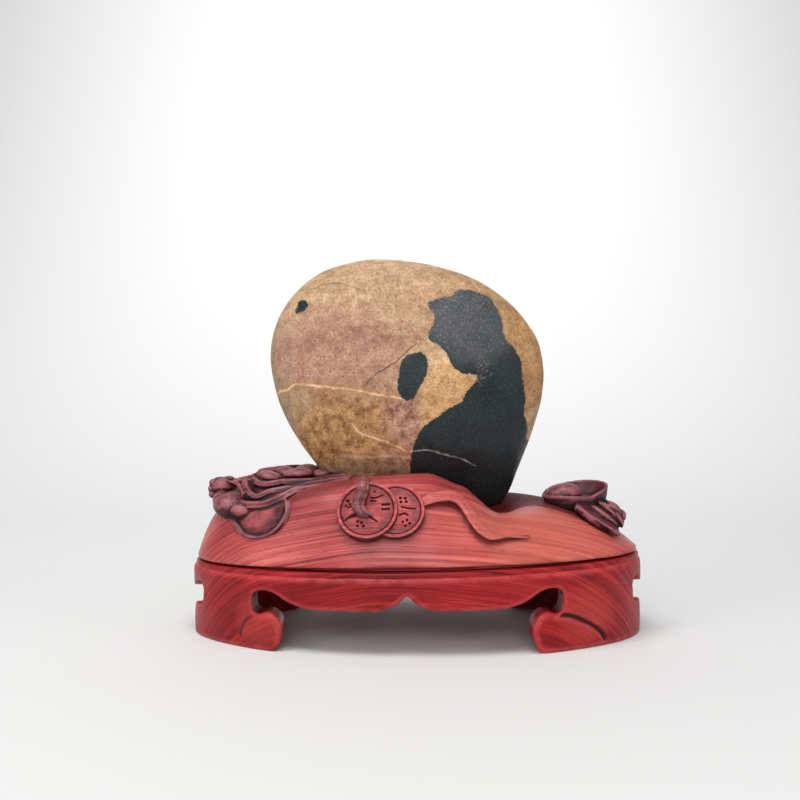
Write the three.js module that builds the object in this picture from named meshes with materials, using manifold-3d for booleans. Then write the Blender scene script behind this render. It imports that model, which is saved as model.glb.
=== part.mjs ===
// A water-worn stone standing in the carved wooden stand that was cut to hold it.
// Millimetres, +Z up. X runs along the stand, -Y is the front, and the origin is on the
// surface that the feet stand on, under the middle of the stand.
// Three pieces: the stone, the domed top with its carving, and the footed base under it.
import * as THREE from "three";
import { mergeVertices } from "three/addons/utils/BufferGeometryUtils.js";
import Module from "manifold-3d";

const wasm = await Module();
wasm.setup();

// Stand, overall
const STAND_HALF_LENGTH = 110.4;
const STAND_HALF_DEPTH = 65;
const OVAL_SEGMENTS = 56;
// The wood was cut a little taller towards the right end: height grows by this much per millimetre of x
const RAKE = 0.0005;

// Base: an oval body with a thin lip on top, hollow underneath
const BASE_BODY_HEIGHT = 34.5;
const BASE_BODY_ROUND = 2.4;
const BASE_LIP_TOP = 36.3;
const BASE_LIP_BOTTOM = 30.5;
const BASE_LIP_INSET = 1.2;
const BASE_LIP_ROUND = 0.7;
const BASE_WALL = 16;
const BASE_HOLLOW_HEIGHT = 29;
// Cutting solids start this far below the feet and end this far past the sides
const CUT_OVERRUN = 10;
const OPENING_CURVE_STEPS = 4;
// The carved openings of the front and back are centred a little left of the middle of the stand
const LONG_OPENING_CENTRE_X = -5.5;

// Seam between the base and the top: a dark groove, widest at the front and back
const SEAM_GAP_MIDDLE = 2.1;
const SEAM_GAP_CLOSING = 1.3;
const SEAM_CORE_SCALE = 0.93;
const SEAM_CORE_HEIGHT = 8;
const TOUCHING_GAP = 0.3;

// Domed top
const TOP_HALF_LENGTH = 108.3;
const TOP_HALF_DEPTH = 62.5;
const TOP_EDGE_HEIGHT = 1.6;
// How sharply the dome turns down at its edge: half way along, its change towards the right
// end, and its rise towards both ends. The left end is steep and the right one slopes.
const DOME_STEEPNESS = [6, -4, 2];
// Rings of the dome, as shares of its size
const DOME_RINGS = [1, 0.98, 0.955, 0.92, 0.87, 0.81, 0.73, 0.63, 0.5, 0.37, 0.24];
// Height of the rim in front of the stone at each x, and of the flat rim behind it
const FRONT_CREST = [
  [-120, 68],
  [-80, 69],
  [-32, 75],
  [4, 77],
  [20, 72.3],
  [38, 62.5],
  [58, 64.5],
  [80, 64],
  [120, 62],
];
const BACK_CREST = 67;
const CREST_BLEND_Y = [-12, 18];
// Dip in the crest where the tip of the stone comes down: its middle, its reach each way, its depth
const TIP_DIP = { x: 36, y: -8, reachX: 12, reachY: 17, depth: 8 };

// Stone: the outline of its broad face, x and z, from the top round by the left
const STONE_OUTLINE = [
  [-16, 182.2],
  [-33.5, 180.6],
  [-49, 175],
  [-66, 158.7],
  [-73, 139],
  [-71.5, 119.7],
  [-63.5, 99.7],
  [-49.5, 78.7],
  [-35, 63],
  [-14, 56.5],
  [14, 54.6],
  [36, 54.8],
  [43.5, 60],
  [50, 77.2],
  [59, 102.2],
  [63, 124.7],
  [60, 141.8],
  [44, 161.8],
  [21.5, 175.4],
];
const STONE_MIDDLE = new THREE.Vector3(-5, 0, 122);
const STONE_HALF_THICKNESS = 33;
const STONE_FULLNESS = 0.86;
const STONE_FOOT_TAPER = 0.26;
// The taper sets in this far below the middle and is full this far below it
const STONE_TAPER_SPAN = [5, 70];
const STONE_DETAIL = 9;
// Flats that the river left, as a direction and a distance from the middle of the stone
const STONE_FLATS = [
  { facing: [0.1, -0.72, -0.69], distance: 44 },
  { facing: [0.6, -0.78, 0.2], distance: 46.5 },
  { facing: [-0.5, -0.85, 0.25], distance: 45 },
  { facing: [0.3, 0.92, -0.2], distance: 37 },
  { facing: [-0.45, 0.8, 0.4], distance: 45 },
];
const STONE_FLAT_DEPTH = 0.7;
const SEAT_CLEARANCE = 0.35;

const SWELLING_SEGMENTS = [12, 7];
// Carving on the top, cut in one with it. Each swelling is an ellipsoid: its middle, its
// half sizes, and the degrees that it is turned about y, as the front shows it.
const LEFT_LEAF_SWELLINGS = [
  { at: [-62, -13, 68.5], half: [31, 24, 8], turn: -3 },
  { at: [-93.5, -11, 69], half: [6.2, 8, 6.3], turn: 0 },
  { at: [-85, -24, 61.5], half: [10.2, 10, 6.5], turn: 10 },
  { at: [-71, -37, 56], half: [13, 8, 5.5], turn: -32 },
  { at: [-70, 2, 70], half: [9, 10, 6.8], turn: 0 },
  { at: [-56, -1, 70], half: [13, 11, 7.6], turn: 0 },
  { at: [-50, 10, 71], half: [10, 9, 8], turn: 0 },
  { at: [-80, 16, 65], half: [14, 11, 6], turn: -8 },
];
const RIGHT_INGOT_SWELLINGS = [
  { at: [78.5, -6, 65.6], half: [15.8, 11, 5.8], turn: 0 },
  { at: [73, -6, 67.6], half: [8, 7, 4.2], turn: 0 },
  { at: [88, -14, 54], half: [12.5, 11, 3.2], turn: 31 },
  { at: [96, -3, 57.5], half: [4.6, 7, 4.8], turn: 20 },
  { at: [97.6, -5, 52.5], half: [5, 7.5, 4.8], turn: 20 },
  { at: [91, -1, 57], half: [8, 9, 5], turn: 20 },
];
// Long lip of the leaf, from the left end of the stand to the strap
const LEAF_LIP = [
  [-84, -31, 65.5],
  [-76, -36.5, 64],
  [-68, -38.5, 65.3],
  [-61.5, -38, 68],
  [-55.5, -36, 70.7],
  [-47, -34, 72.2],
  [-38, -32.5, 73.3],
  [-30, -31, 74],
];
const LEAF_LIP_RADIUS = [2.6, 2.6];
const STRIP_SIDES = 6;
// Two coins lying on the front slope, the left one on the right one, and how far each stands
// out of the wood at its middle. Places are x and z, as the front shows them.
const COINS = [
  { x: -22.6, z: 61.3, proud: 3.4 },
  { x: -9.8, z: 62, proud: 1.8 },
];
const COIN_RADIUS = 13.2;
const COIN_THICKNESS = 8;
const COIN_RIM_WIDTH = 1.7;
const COIN_RIM_SLOPE = 0.3;
const COIN_FIELD_DEPTH = 0.6;
const COIN_SEGMENTS = 24;
// Strap that comes over the crest and goes down through the middle of the left coin
const STRAP = [
  [-26.5, -27, 74],
  [-25.8, -37, 74.3],
  [-24.6, -46.5, 70.8],
  [-22.6, -53, 65.5],
  [-20.8, -55, 61],
];
const STRAP_RADIUS = [4.2, 3];
// Its loose end, which runs on from behind the right coin down the slope: x and z
const STRAP_TAIL = [
  [0, 63.4],
  [8, 64.8],
  [15.5, 63.6],
  [19.4, 60],
  [23, 54.2],
  [28, 49.6],
  [34.5, 48.8],
  [48.6, 49],
];
const STRAP_TAIL_RADIUS = [2.4, 0.7];

const COLOURS = {
  stone: 0xa48058,
  topWood: 0x9c3a38,
  baseWood: 0x8c2b2a,
};

// A closed geometry as a solid, with the doubled points of its seams merged
function solid(geometry, matrix = new THREE.Matrix4()) {
  const bare = geometry.clone().applyMatrix4(matrix);
  bare.deleteAttribute("normal");
  bare.deleteAttribute("uv");
  const merged = mergeVertices(bare, 1e-4);
  return new wasm.Manifold(
    new wasm.Mesh({
      numProp: 3,
      vertProperties: new Float32Array(merged.attributes.position.array),
      triVerts: new Uint32Array(merged.index.array),
    }),
  );
}

function geometryOf(manifold) {
  const mesh = manifold.getMesh();
  const geometry = new THREE.BufferGeometry();
  geometry.setAttribute("position", new THREE.BufferAttribute(mesh.vertProperties, 3));
  geometry.setIndex(new THREE.BufferAttribute(mesh.triVerts, 1));
  geometry.computeVertexNormals();
  return geometry;
}

// Moves every point of a geometry by a function of the point
function reshape(geometry, move) {
  const place = geometry.attributes.position;
  const point = new THREE.Vector3();
  for (let i = 0; i < place.count; i += 1) {
    point.fromBufferAttribute(place, i);
    move(point);
    place.setXYZ(i, point.x, point.y, point.z);
  }
  return geometry;
}

const smoothstep = THREE.MathUtils.smoothstep;
const rake = (x) => 1 + RAKE * x;

// The value at x of a smooth curve through [x, value] pairs
function valueAlong(pairs, x) {
  let i = 1;
  while (i < pairs.length - 1 && x > pairs[i][0]) i += 1;
  const [x0, v0] = pairs[i - 1];
  const [x1, v1] = pairs[i];
  return THREE.MathUtils.lerp(v0, v1, smoothstep(x, x0, x1));
}

// Stone

const outlineCurve = new THREE.CatmullRomCurve3(
  STONE_OUTLINE.map(([x, z]) => new THREE.Vector3(x, 0, z)),
  true,
  "centripetal",
);
// Distance from the middle of the broad face to its outline, by angle
const outlineRays = outlineCurve
  .getPoints(360)
  .map((p) => p.sub(STONE_MIDDLE))
  .map((p) => ({ angle: Math.atan2(p.z, p.x), reach: p.length() }))
  .sort((a, b) => a.angle - b.angle);

function outlineReach(angle) {
  const after = outlineRays.findIndex((ray) => ray.angle >= angle);
  const next = outlineRays[Math.max(after, 0)];
  const last = outlineRays[after > 0 ? after - 1 : outlineRays.length - 1];
  const turn = 2 * Math.PI;
  const span = (next.angle - last.angle + turn) % turn || turn;
  const share = ((angle - last.angle + turn) % turn) / span;
  return THREE.MathUtils.lerp(last.reach, next.reach, Math.min(share, 1));
}

// The pebble: a ball drawn out to the outline, fuller than an ellipse, thinner towards its
// foot, pressed to a few broad flats. Extra grows it evenly, for the seat that it stands in.
function stoneGeometry(extra) {
  const ball = new THREE.IcosahedronGeometry(1, STONE_DETAIL);
  return reshape(ball, (p) => {
    const side = Math.hypot(p.x, p.z);
    const angle = Math.atan2(p.z, p.x);
    const reach = (outlineReach(angle) + extra) * side ** STONE_FULLNESS;
    const depth = Math.sign(p.y) * Math.abs(p.y) ** STONE_FULLNESS;
    p.set(Math.cos(angle) * reach, 0, Math.sin(angle) * reach);
    const taper = 1 - STONE_FOOT_TAPER * smoothstep(-p.z, ...STONE_TAPER_SPAN);
    p.y = depth * (STONE_HALF_THICKNESS * taper + extra);
    for (const { facing, distance } of STONE_FLATS) {
      const normal = new THREE.Vector3(...facing).normalize();
      const proud = p.dot(normal) - distance - extra;
      if (proud > 0) p.addScaledVector(normal, -proud * STONE_FLAT_DEPTH);
    }
    p.add(STONE_MIDDLE);
  });
}

// Oval slab with rounded edges, from a low to a high level
function ovalSlab(halfLength, halfDepth, low, high, round) {
  const outline = new THREE.Shape().absellipse(
    0,
    0,
    halfLength - round,
    halfDepth - round,
    0,
    2 * Math.PI,
  );
  const slab = new THREE.ExtrudeGeometry(outline, {
    depth: high - low - 2 * round,
    curveSegments: OVAL_SEGMENTS / 2,
    bevelEnabled: round > 0,
    bevelThickness: round,
    bevelSize: round,
    bevelSegments: 2,
  });
  slab.translate(0, 0, low + round);
  return solid(reshape(slab, (p) => p.setZ(p.z * rake(p.x))));
}

// Base

// Half of an opening between two feet, from its middle: the pointed cusp of the apron, the
// flat lower edge, the rise to the scroll, and the toe that curls in below it
const LONG_OPENING = (half) =>
  half
    .moveTo(0, 27)
    .quadraticCurveTo(5.5, 20.4, 14, 19.7)
    .lineTo(37, 19.7)
    .quadraticCurveTo(48, 19.8, 55, 24.2)
    .quadraticCurveTo(59, 27.4, 64, 27.4)
    .quadraticCurveTo(69.3, 27.2, 69.5, 23)
    .lineTo(69.5, 19)
    .quadraticCurveTo(68.6, 15, 65, 15.6)
    .quadraticCurveTo(62, 17.6, 59, 16)
    .quadraticCurveTo(55.6, 13.6, 55.5, 9.5)
    .quadraticCurveTo(55.8, 4, 58.5, 0.8)
    .lineTo(58.5, -4);

const END_OPENING = (half) =>
  half
    .moveTo(0, 26.5)
    .quadraticCurveTo(3, 23, 7, 22.6)
    .quadraticCurveTo(12, 22.8, 15, 25.4)
    .quadraticCurveTo(18, 27.6, 21.5, 27.2)
    .quadraticCurveTo(25.5, 26.4, 25.5, 22.5)
    .quadraticCurveTo(25.3, 16.4, 21.5, 15.6)
    .quadraticCurveTo(18.5, 17.2, 16, 16)
    .quadraticCurveTo(12.5, 13.6, 12.2, 9.5)
    .quadraticCurveTo(12.4, 4, 14.5, 0.8)
    .lineTo(14.5, -4);

// A prism of an opening mirrored about its middle, long enough to pass through the base
function openingPrism(drawHalf, length, across, along, middle) {
  const half = drawHalf(new THREE.Path()).getPoints(OPENING_CURVE_STEPS);
  const mirrored = half.map((p) => new THREE.Vector2(-p.x, p.y)).reverse();
  const outline = new THREE.Shape([...mirrored.slice(0, -1), ...half]);
  const prism = new THREE.ExtrudeGeometry(outline, { depth: length, bevelEnabled: false });
  const place = new THREE.Matrix4()
    .makeBasis(across, new THREE.Vector3(0, 0, 1), along)
    .setPosition(middle.clone().addScaledVector(along, -length / 2));
  return solid(prism, place);
}

function baseSolid() {
  const X = new THREE.Vector3(1, 0, 0);
  const Y = new THREE.Vector3(0, 1, 0);
  const body = ovalSlab(STAND_HALF_LENGTH, STAND_HALF_DEPTH, 0, BASE_BODY_HEIGHT, BASE_BODY_ROUND);
  const lip = ovalSlab(
    STAND_HALF_LENGTH - BASE_LIP_INSET,
    STAND_HALF_DEPTH - BASE_LIP_INSET,
    BASE_LIP_BOTTOM,
    BASE_LIP_TOP,
    BASE_LIP_ROUND,
  );
  const hollow = ovalSlab(
    STAND_HALF_LENGTH - BASE_WALL,
    STAND_HALF_DEPTH - BASE_WALL,
    -CUT_OVERRUN,
    BASE_HOLLOW_HEIGHT,
    0,
  );
  const longOpening = openingPrism(
    LONG_OPENING,
    2 * (STAND_HALF_DEPTH + CUT_OVERRUN),
    X,
    Y.clone().negate(),
    new THREE.Vector3(LONG_OPENING_CENTRE_X, 0, 0),
  );
  const endOpening = openingPrism(
    END_OPENING,
    2 * (STAND_HALF_LENGTH + CUT_OVERRUN),
    Y,
    X,
    new THREE.Vector3(),
  );
  return body.add(lip).subtract(hollow).subtract(longOpening).subtract(endOpening);
}

// Domed top

// Underside of the top's edge: the groove closes towards the two ends
function edgeBottom(x) {
  const end = (x / TOP_HALF_LENGTH) ** 2;
  return BASE_LIP_TOP * rake(x) + SEAM_GAP_MIDDLE - SEAM_GAP_CLOSING * end;
}

// Upper surface of the dome
function domeHeight(x, y) {
  const along = x / TOP_HALF_LENGTH;
  const across = y / TOP_HALF_DEPTH;
  const out = Math.min(Math.hypot(along, across), 1);
  const towardsRight = out > 0 ? along / out : 0;
  const [halfWay, change, atEnds] = DOME_STEEPNESS;
  const steepness = halfWay + change * towardsRight + atEnds * towardsRight ** 2;
  const edgeTop = edgeBottom(x) + TOP_EDGE_HEIGHT;
  const behind = smoothstep(y, ...CREST_BLEND_Y);
  const crest = THREE.MathUtils.lerp(valueAlong(FRONT_CREST, x), BACK_CREST, behind);
  const away = ((x - TIP_DIP.x) / TIP_DIP.reachX) ** 2 + ((y - TIP_DIP.y) / TIP_DIP.reachY) ** 2;
  return edgeTop + (crest - edgeTop) * (1 - out ** steepness) - TIP_DIP.depth * Math.exp(-away);
}

function domeSolid() {
  const below = -1;
  const above = 1;
  const profile = [
    new THREE.Vector2(0, below),
    new THREE.Vector2(1, below),
    ...DOME_RINGS.map((out) => new THREE.Vector2(out, above)),
    new THREE.Vector2(0, above),
  ];
  const lathe = new THREE.LatheGeometry(profile, OVAL_SEGMENTS);
  lathe.rotateX(Math.PI / 2);
  const dome = reshape(lathe, (p) => {
    const level = p.z;
    p.x *= TOP_HALF_LENGTH;
    p.y *= TOP_HALF_DEPTH;
    p.z = level < 0 ? edgeBottom(p.x) : domeHeight(p.x, p.y);
  });
  const core = ovalSlab(
    TOP_HALF_LENGTH * SEAM_CORE_SCALE,
    TOP_HALF_DEPTH * SEAM_CORE_SCALE,
    BASE_LIP_TOP + TOUCHING_GAP,
    BASE_LIP_TOP + SEAM_CORE_HEIGHT,
    0,
  );
  return solid(dome).add(core);
}

// Place on the front slope at a given x and z, found by halving
function slopePoint(x, z) {
  const halvings = 24;
  let outer = -TOP_HALF_DEPTH;
  let inner = CREST_BLEND_Y[0];
  for (let i = 0; i < halvings; i += 1) {
    const middle = (outer + inner) / 2;
    if (domeHeight(x, middle) < z) outer = middle;
    else inner = middle;
  }
  return new THREE.Vector3(x, inner, z);
}

// The direction that the slope faces at a point
function slopeNormal({ x, y }) {
  const step = 1.5;
  const rise = (dx, dy) => domeHeight(x + dx, y + dy) - domeHeight(x - dx, y - dy);
  return new THREE.Vector3(-rise(step, 0), -rise(0, step), 2 * step).normalize();
}

// Carving

function swelling({ at, half, turn }) {
  const ball = new THREE.SphereGeometry(1, ...SWELLING_SEGMENTS);
  const place = new THREE.Matrix4().compose(
    new THREE.Vector3(...at),
    new THREE.Quaternion().setFromEuler(new THREE.Euler(0, THREE.MathUtils.degToRad(turn), 0)),
    new THREE.Vector3(...half),
  );
  return solid(ball, place);
}

// Round strip of wood along a path, tapering from one radius to another
function strip(points, [startRadius, endRadius], steps) {
  const path = new THREE.CatmullRomCurve3(points, false, "centripetal");
  const { normals, binormals } = path.computeFrenetFrames(steps);
  const tube = new THREE.CylinderGeometry(1, 1, 1, STRIP_SIDES, steps);
  return solid(
    reshape(tube, (p) => {
      const share = p.y + 0.5;
      const i = Math.round(share * steps);
      const radius = THREE.MathUtils.lerp(startRadius, endRadius, share);
      const across = p.x * radius;
      const up = p.z * radius;
      p.copy(path.getPointAt(share))
        .addScaledVector(binormals[i], across)
        .addScaledVector(normals[i], up);
    }),
  );
}

function coin({ x, z, proud }) {
  const profile = [
    [0, 0],
    [COIN_RADIUS, 0],
    [COIN_RADIUS, COIN_THICKNESS],
    [COIN_RADIUS - COIN_RIM_WIDTH, COIN_THICKNESS],
    [COIN_RADIUS - COIN_RIM_WIDTH - COIN_RIM_SLOPE, COIN_THICKNESS - COIN_FIELD_DEPTH],
    [0, COIN_THICKNESS - COIN_FIELD_DEPTH],
  ].map(([radius, height]) => new THREE.Vector2(radius, height));
  const disc = new THREE.LatheGeometry(profile, COIN_SEGMENTS);
  disc.translate(0, proud - COIN_THICKNESS, 0);
  const middle = slopePoint(x, z);
  const facing = new THREE.Quaternion().setFromUnitVectors(
    new THREE.Vector3(0, 1, 0),
    slopeNormal(middle),
  );
  const place = new THREE.Matrix4().compose(middle, facing, new THREE.Vector3(1, 1, 1));
  return solid(disc, place);
}

const vectors = (triples) => triples.map((triple) => new THREE.Vector3(...triple));

// The outer skin of a solid, so that a pocket closed off between joined pieces is wood
function filled(manifold) {
  return manifold.decompose().reduce((a, b) => (a.volume() > b.volume() ? a : b));
}

function topSolid() {
  const tail = STRAP_TAIL.map(([x, z]) => slopePoint(x, z));
  const carving = [
    ...LEFT_LEAF_SWELLINGS.map(swelling),
    ...RIGHT_INGOT_SWELLINGS.map(swelling),
    strip(vectors(LEAF_LIP), LEAF_LIP_RADIUS, 12),
    ...COINS.map(coin),
    strip(vectors(STRAP), STRAP_RADIUS, 6),
    strip(tail, STRAP_TAIL_RADIUS, 14),
  ];
  const carved = carving.reduce((wood, piece) => wood.add(piece), domeSolid());
  return filled(carved).subtract(solid(stoneGeometry(SEAT_CLEARANCE)));
}

const stone = new THREE.Mesh(
  stoneGeometry(0),
  new THREE.MeshStandardMaterial({ color: COLOURS.stone, roughness: 0.7, metalness: 0 }),
);
stone.name = "stone";

const top = new THREE.Mesh(
  geometryOf(topSolid()),
  new THREE.MeshStandardMaterial({ color: COLOURS.topWood, roughness: 0.4, metalness: 0 }),
);
top.name = "stand_top";

const base = new THREE.Mesh(
  geometryOf(baseSolid()),
  new THREE.MeshStandardMaterial({ color: COLOURS.baseWood, roughness: 0.4, metalness: 0 }),
);
base.name = "stand_base";

const part = new THREE.Group();
part.add(stone, top, base);
export default part;
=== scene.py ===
# %% [markdown]
# A water-worn stone in its carved wooden stand, dressed for a photograph.
#
# The CAD model gives the size and place of everything: a pebble about 136 mm broad that stands
# upright in a seat, a domed oval top with carving, and a footed base. This file dresses it.
# All lengths are in millimetres until a mesh is made. Blender works in metres.

# %% Load the frame
import math

import bpy
import numpy as np
from mathutils import Matrix, Vector
from mathutils.bvhtree import BVHTree


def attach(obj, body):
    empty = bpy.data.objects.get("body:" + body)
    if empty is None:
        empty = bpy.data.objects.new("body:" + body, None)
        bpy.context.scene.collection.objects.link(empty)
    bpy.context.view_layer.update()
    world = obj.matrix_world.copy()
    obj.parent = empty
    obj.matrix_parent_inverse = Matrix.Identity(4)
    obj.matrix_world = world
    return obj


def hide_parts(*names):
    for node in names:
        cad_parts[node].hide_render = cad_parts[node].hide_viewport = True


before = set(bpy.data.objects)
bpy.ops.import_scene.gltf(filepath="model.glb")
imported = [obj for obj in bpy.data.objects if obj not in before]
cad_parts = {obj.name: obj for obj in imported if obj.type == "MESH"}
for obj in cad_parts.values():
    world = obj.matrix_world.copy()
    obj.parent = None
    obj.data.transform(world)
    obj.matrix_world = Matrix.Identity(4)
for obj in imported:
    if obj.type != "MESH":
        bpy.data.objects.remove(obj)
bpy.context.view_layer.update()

MM = 0.001
print("nodes:", sorted(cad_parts))

# %% [markdown]
# Nearly every step below is the same few moves that a hand makes: pick an object, go into edit
# mode, use an operator, come out and apply a modifier. The helpers keep each move to one line.
# An operator works on whatever is selected, so each helper starts by deselecting everything.


# %% Helpers for picking and editing
def pick(*objects):
    if bpy.context.object and bpy.context.object.mode != "OBJECT":
        bpy.ops.object.mode_set(mode="OBJECT")
    bpy.ops.object.select_all(action="DESELECT")
    for thing in objects:
        thing.select_set(True)
    bpy.context.view_layer.objects.active = objects[0]


def edit(thing):
    pick(thing)
    bpy.ops.object.mode_set(mode="EDIT")
    bpy.ops.mesh.select_all(action="SELECT")


def leave_edit():
    bpy.ops.object.mode_set(mode="OBJECT")


def modify(thing, kind, **settings):
    pick(thing)
    modifier = thing.modifiers.new(kind.title(), kind)
    for name, value in settings.items():
        setattr(modifier, name, value)
    bpy.ops.object.modifier_apply(modifier=modifier.name)


def read_points(thing, what):
    flat = np.empty(len(thing.data.vertices) * 3)
    thing.data.vertices.foreach_get(what, flat)
    return flat.reshape(-1, 3)


def points_of(thing):
    """The mesh's points in millimetres, one row each."""
    return read_points(thing, "co") / MM


def move_points(thing, points):
    thing.data.vertices.foreach_set("co", (points * MM).ravel())
    thing.data.update()


def normals_of(thing):
    return read_points(thing, "normal")


def new_object(name, data):
    made = bpy.data.objects.new(name, data)
    bpy.context.scene.collection.objects.link(made)
    return made


def mend_normals(thing, gap=0.01):
    edit(thing)
    bpy.ops.mesh.remove_doubles(threshold=gap * MM)
    bpy.ops.mesh.normals_make_consistent(inside=False)
    leave_edit()


def join(name, things):
    pick(*things)
    bpy.ops.object.join()
    joined = bpy.context.object
    joined.name = name
    return joined


def mesh_object(name, points, faces):
    """A mesh from points in millimetres, where no primitive has the right layout of faces."""
    mesh = bpy.data.meshes.new(name)
    mesh.from_pydata((np.asarray(points, float) * MM).tolist(), [], faces)
    return new_object(name, mesh)


def cut_away(thing, cutter):
    modify(thing, "BOOLEAN", operation="DIFFERENCE", solver="EXACT", object=cutter)
    bpy.data.objects.remove(cutter)


def roughen(thing, size, depth, seed=0):
    """Moves the surface in and out by smooth noise: size and depth in millimetres."""
    texture = bpy.data.textures.new(f"{thing.name} {size}", "CLOUDS")
    texture.noise_scale = size * MM
    texture.noise_depth = 1
    pick(thing)
    start = points_of(thing)
    thing.data.transform(Matrix.Translation(Vector((seed, seed, seed)) * MM))
    modify(thing, "DISPLACE", texture=texture, strength=depth * MM, mid_level=0.5)
    thing.data.transform(Matrix.Translation(Vector((-seed, -seed, -seed)) * MM))
    moved = np.abs(points_of(thing) - start).max()
    print(f"{thing.name}: noise of {size} mm moves it up to {moved:.2f} mm")


def finish_piece(thing, material, slot, *nodes, crease=None):
    """Shades a piece, gives it its material, and lets it stand for its CAD node."""
    pick(thing)
    if crease:
        bpy.ops.object.shade_smooth_by_angle(angle=math.radians(crease))
    else:
        bpy.ops.object.shade_smooth()
    thing.data.materials.clear()
    thing.data.materials.append(material)
    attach(thing, "root")
    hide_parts(*nodes)
    thing.data.calc_loop_triangles()
    low, high = points_of(thing).min(axis=0), points_of(thing).max(axis=0)
    print(f"{thing.name}: {len(thing.data.loop_triangles)} triangles,", low.round(1), high.round(1))


def smoothstep(value, low, high):
    share = np.clip((np.asarray(value, float) - low) / (high - low), 0, 1)
    return share * share * (3 - 2 * share)


def smooth_line(corners, closed=False, steps=8):
    """A smooth line through a few chosen points, with steps points between each pair."""
    corners = np.asarray(corners, float)
    if closed:
        padded = np.vstack([corners[-1], corners, corners[:2]])
    else:
        padded = np.vstack([2 * corners[0] - corners[1], corners, 2 * corners[-1] - corners[-2]])
    line = []
    for a, b, c, d in zip(padded, padded[1:], padded[2:], padded[3:]):
        for t in np.arange(steps) / steps:
            square, cube = 2 * a - 5 * b + 4 * c - d, 3 * b - a - 3 * c + d
            line.append(0.5 * (2 * b + (c - a) * t + square * t**2 + cube * t**3))
    if not closed:
        line.append(corners[-1])
    return np.array(line)


def spread(values, share):
    """Values spaced evenly from 0 to 1, read off at other shares, for each column."""
    values = np.asarray(values, float)
    columns = values.reshape(len(values), -1).T
    read = [np.interp(share, np.linspace(0, 1, len(values)), column) for column in columns]
    return np.column_stack(read) if len(read) > 1 else read[0]


# %% [markdown]
# The camera stands 450 mm in front of the stone, a little above the stand, with a lens that
# makes two pixels of a millimetre at the middle of the stone. It looks level, so upright lines
# stay upright, and a very small shift puts the stone where the picture has it.

# %% Camera
EYE = (-8.5, -450.0, 101.75)
LENS, SENSOR_WIDTH = 40.5, 36
# In pixels of a picture that is 800 wide
PICTURE_WIDTH, EYE_BELOW_MIDDLE = 800, 21

camera_data = bpy.data.cameras.new("camera")
camera_data.lens = LENS
camera_data.sensor_width = SENSOR_WIDTH
camera_data.shift_y = EYE_BELOW_MIDDLE / PICTURE_WIDTH
camera = new_object("camera", camera_data)
camera.location = Vector(EYE) * MM
camera.rotation_euler = (math.radians(90), 0, 0)
bpy.context.scene.camera = camera

# %% [markdown]
# Light in the room is broad and soft and comes mostly from above, so the undersides of the
# carving stay dark: a big lamp above and in front, a window at the left, a weaker glow from the
# right, and a pale room all round. One more lamp lights the backdrop alone. The floor is a pale
# sheet that curves up behind, as in a studio: a plane whose back edge is extruded step by step.


# %% Floor and lights
def area_light(name, place, aim, size, watts):
    data = bpy.data.lights.new(name, "AREA")
    data.shape = "RECTANGLE"
    data.size, data.size_y = size
    data.energy = watts
    lamp = new_object(name, data)
    lamp.location = place
    lamp.rotation_euler = (Vector(aim) - Vector(place)).to_track_quat("-Z", "Y").to_euler()


area_light("ceiling", (-0.15, -0.35, 1.15), (0, 0, 0.05), (0.9, 0.5), 10.5)
area_light("front_lamp", (-0.1, -1.3, 0.55), (0, 0, 0.08), (0.9, 0.5), 7)
area_light("window", (-0.85, -0.6, 0.55), (0, 0, 0.08), (0.5, 0.7), 2.7)
area_light("right_fill", (0.95, -0.45, 0.45), (0, 0, 0.08), (0.4, 0.6), 1.6)
area_light("backdrop", (0, 0.7, 1.6), (0, 2.1, 0.9), (1.8, 0.8), 30)

world = bpy.data.worlds.new("pale room")
world.use_nodes = True
nodes, links = world.node_tree.nodes, world.node_tree.links
ambient = nodes["Background"]
ambient.inputs["Color"].default_value = (0.93, 0.95, 1.0, 1)
ambient.inputs["Strength"].default_value = 0.27
# Past the edges of the floor a view from the side or from behind sees plain pale grey
seen = nodes.new("ShaderNodeBackground")
seen.inputs["Color"].default_value = (0.84, 0.84, 0.85, 1)
ray, chosen = nodes.new("ShaderNodeLightPath"), nodes.new("ShaderNodeMixShader")
links.new(ray.outputs["Is Camera Ray"], chosen.inputs[0])
links.new(ambient.outputs[0], chosen.inputs[1])
links.new(seen.outputs[0], chosen.inputs[2])
links.new(chosen.outputs[0], nodes["World Output"].inputs["Surface"])
bpy.context.scene.world = world
bpy.context.scene.view_settings.view_transform = "Standard"

FLOOR_HALF_WIDTH, FLOOR_FRONT, FLOOR_BACK = 3.5, -2.5, 0.5
FLOOR_CURVE, FLOOR_STEPS, WALL_HEIGHT = 1.6, 32, 2.4
bpy.ops.object.select_all(action="DESELECT")
bpy.ops.mesh.primitive_plane_add(size=1)
floor = bpy.context.object
floor.name = "pale_floor"
edit(floor)
bpy.ops.transform.resize(value=(2 * FLOOR_HALF_WIDTH, FLOOR_BACK - FLOOR_FRONT, 1))
bpy.ops.transform.translate(value=(0, (FLOOR_BACK + FLOOR_FRONT) / 2, 0))
bpy.ops.mesh.select_all(action="DESELECT")
bpy.ops.mesh.select_mode(type="EDGE")
leave_edit()
for edge in floor.data.edges:
    edge.select = all(floor.data.vertices[v].co.y > FLOOR_BACK - MM for v in edge.vertices)
bpy.ops.object.mode_set(mode="EDIT")
turns = [math.radians(90 * step / FLOOR_STEPS) for step in range(FLOOR_STEPS + 1)]
for turn, next_turn in zip(turns, turns[1:]):
    along = FLOOR_CURVE * (math.sin(next_turn) - math.sin(turn))
    rise = FLOOR_CURVE * (math.cos(turn) - math.cos(next_turn))
    bpy.ops.mesh.extrude_region_move(TRANSFORM_OT_translate={"value": (0, along, rise)})
bpy.ops.mesh.extrude_region_move(TRANSFORM_OT_translate={"value": (0, 0, WALL_HEIGHT)})
bpy.ops.mesh.select_mode(type="VERT")
leave_edit()
bpy.ops.object.shade_smooth()
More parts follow.
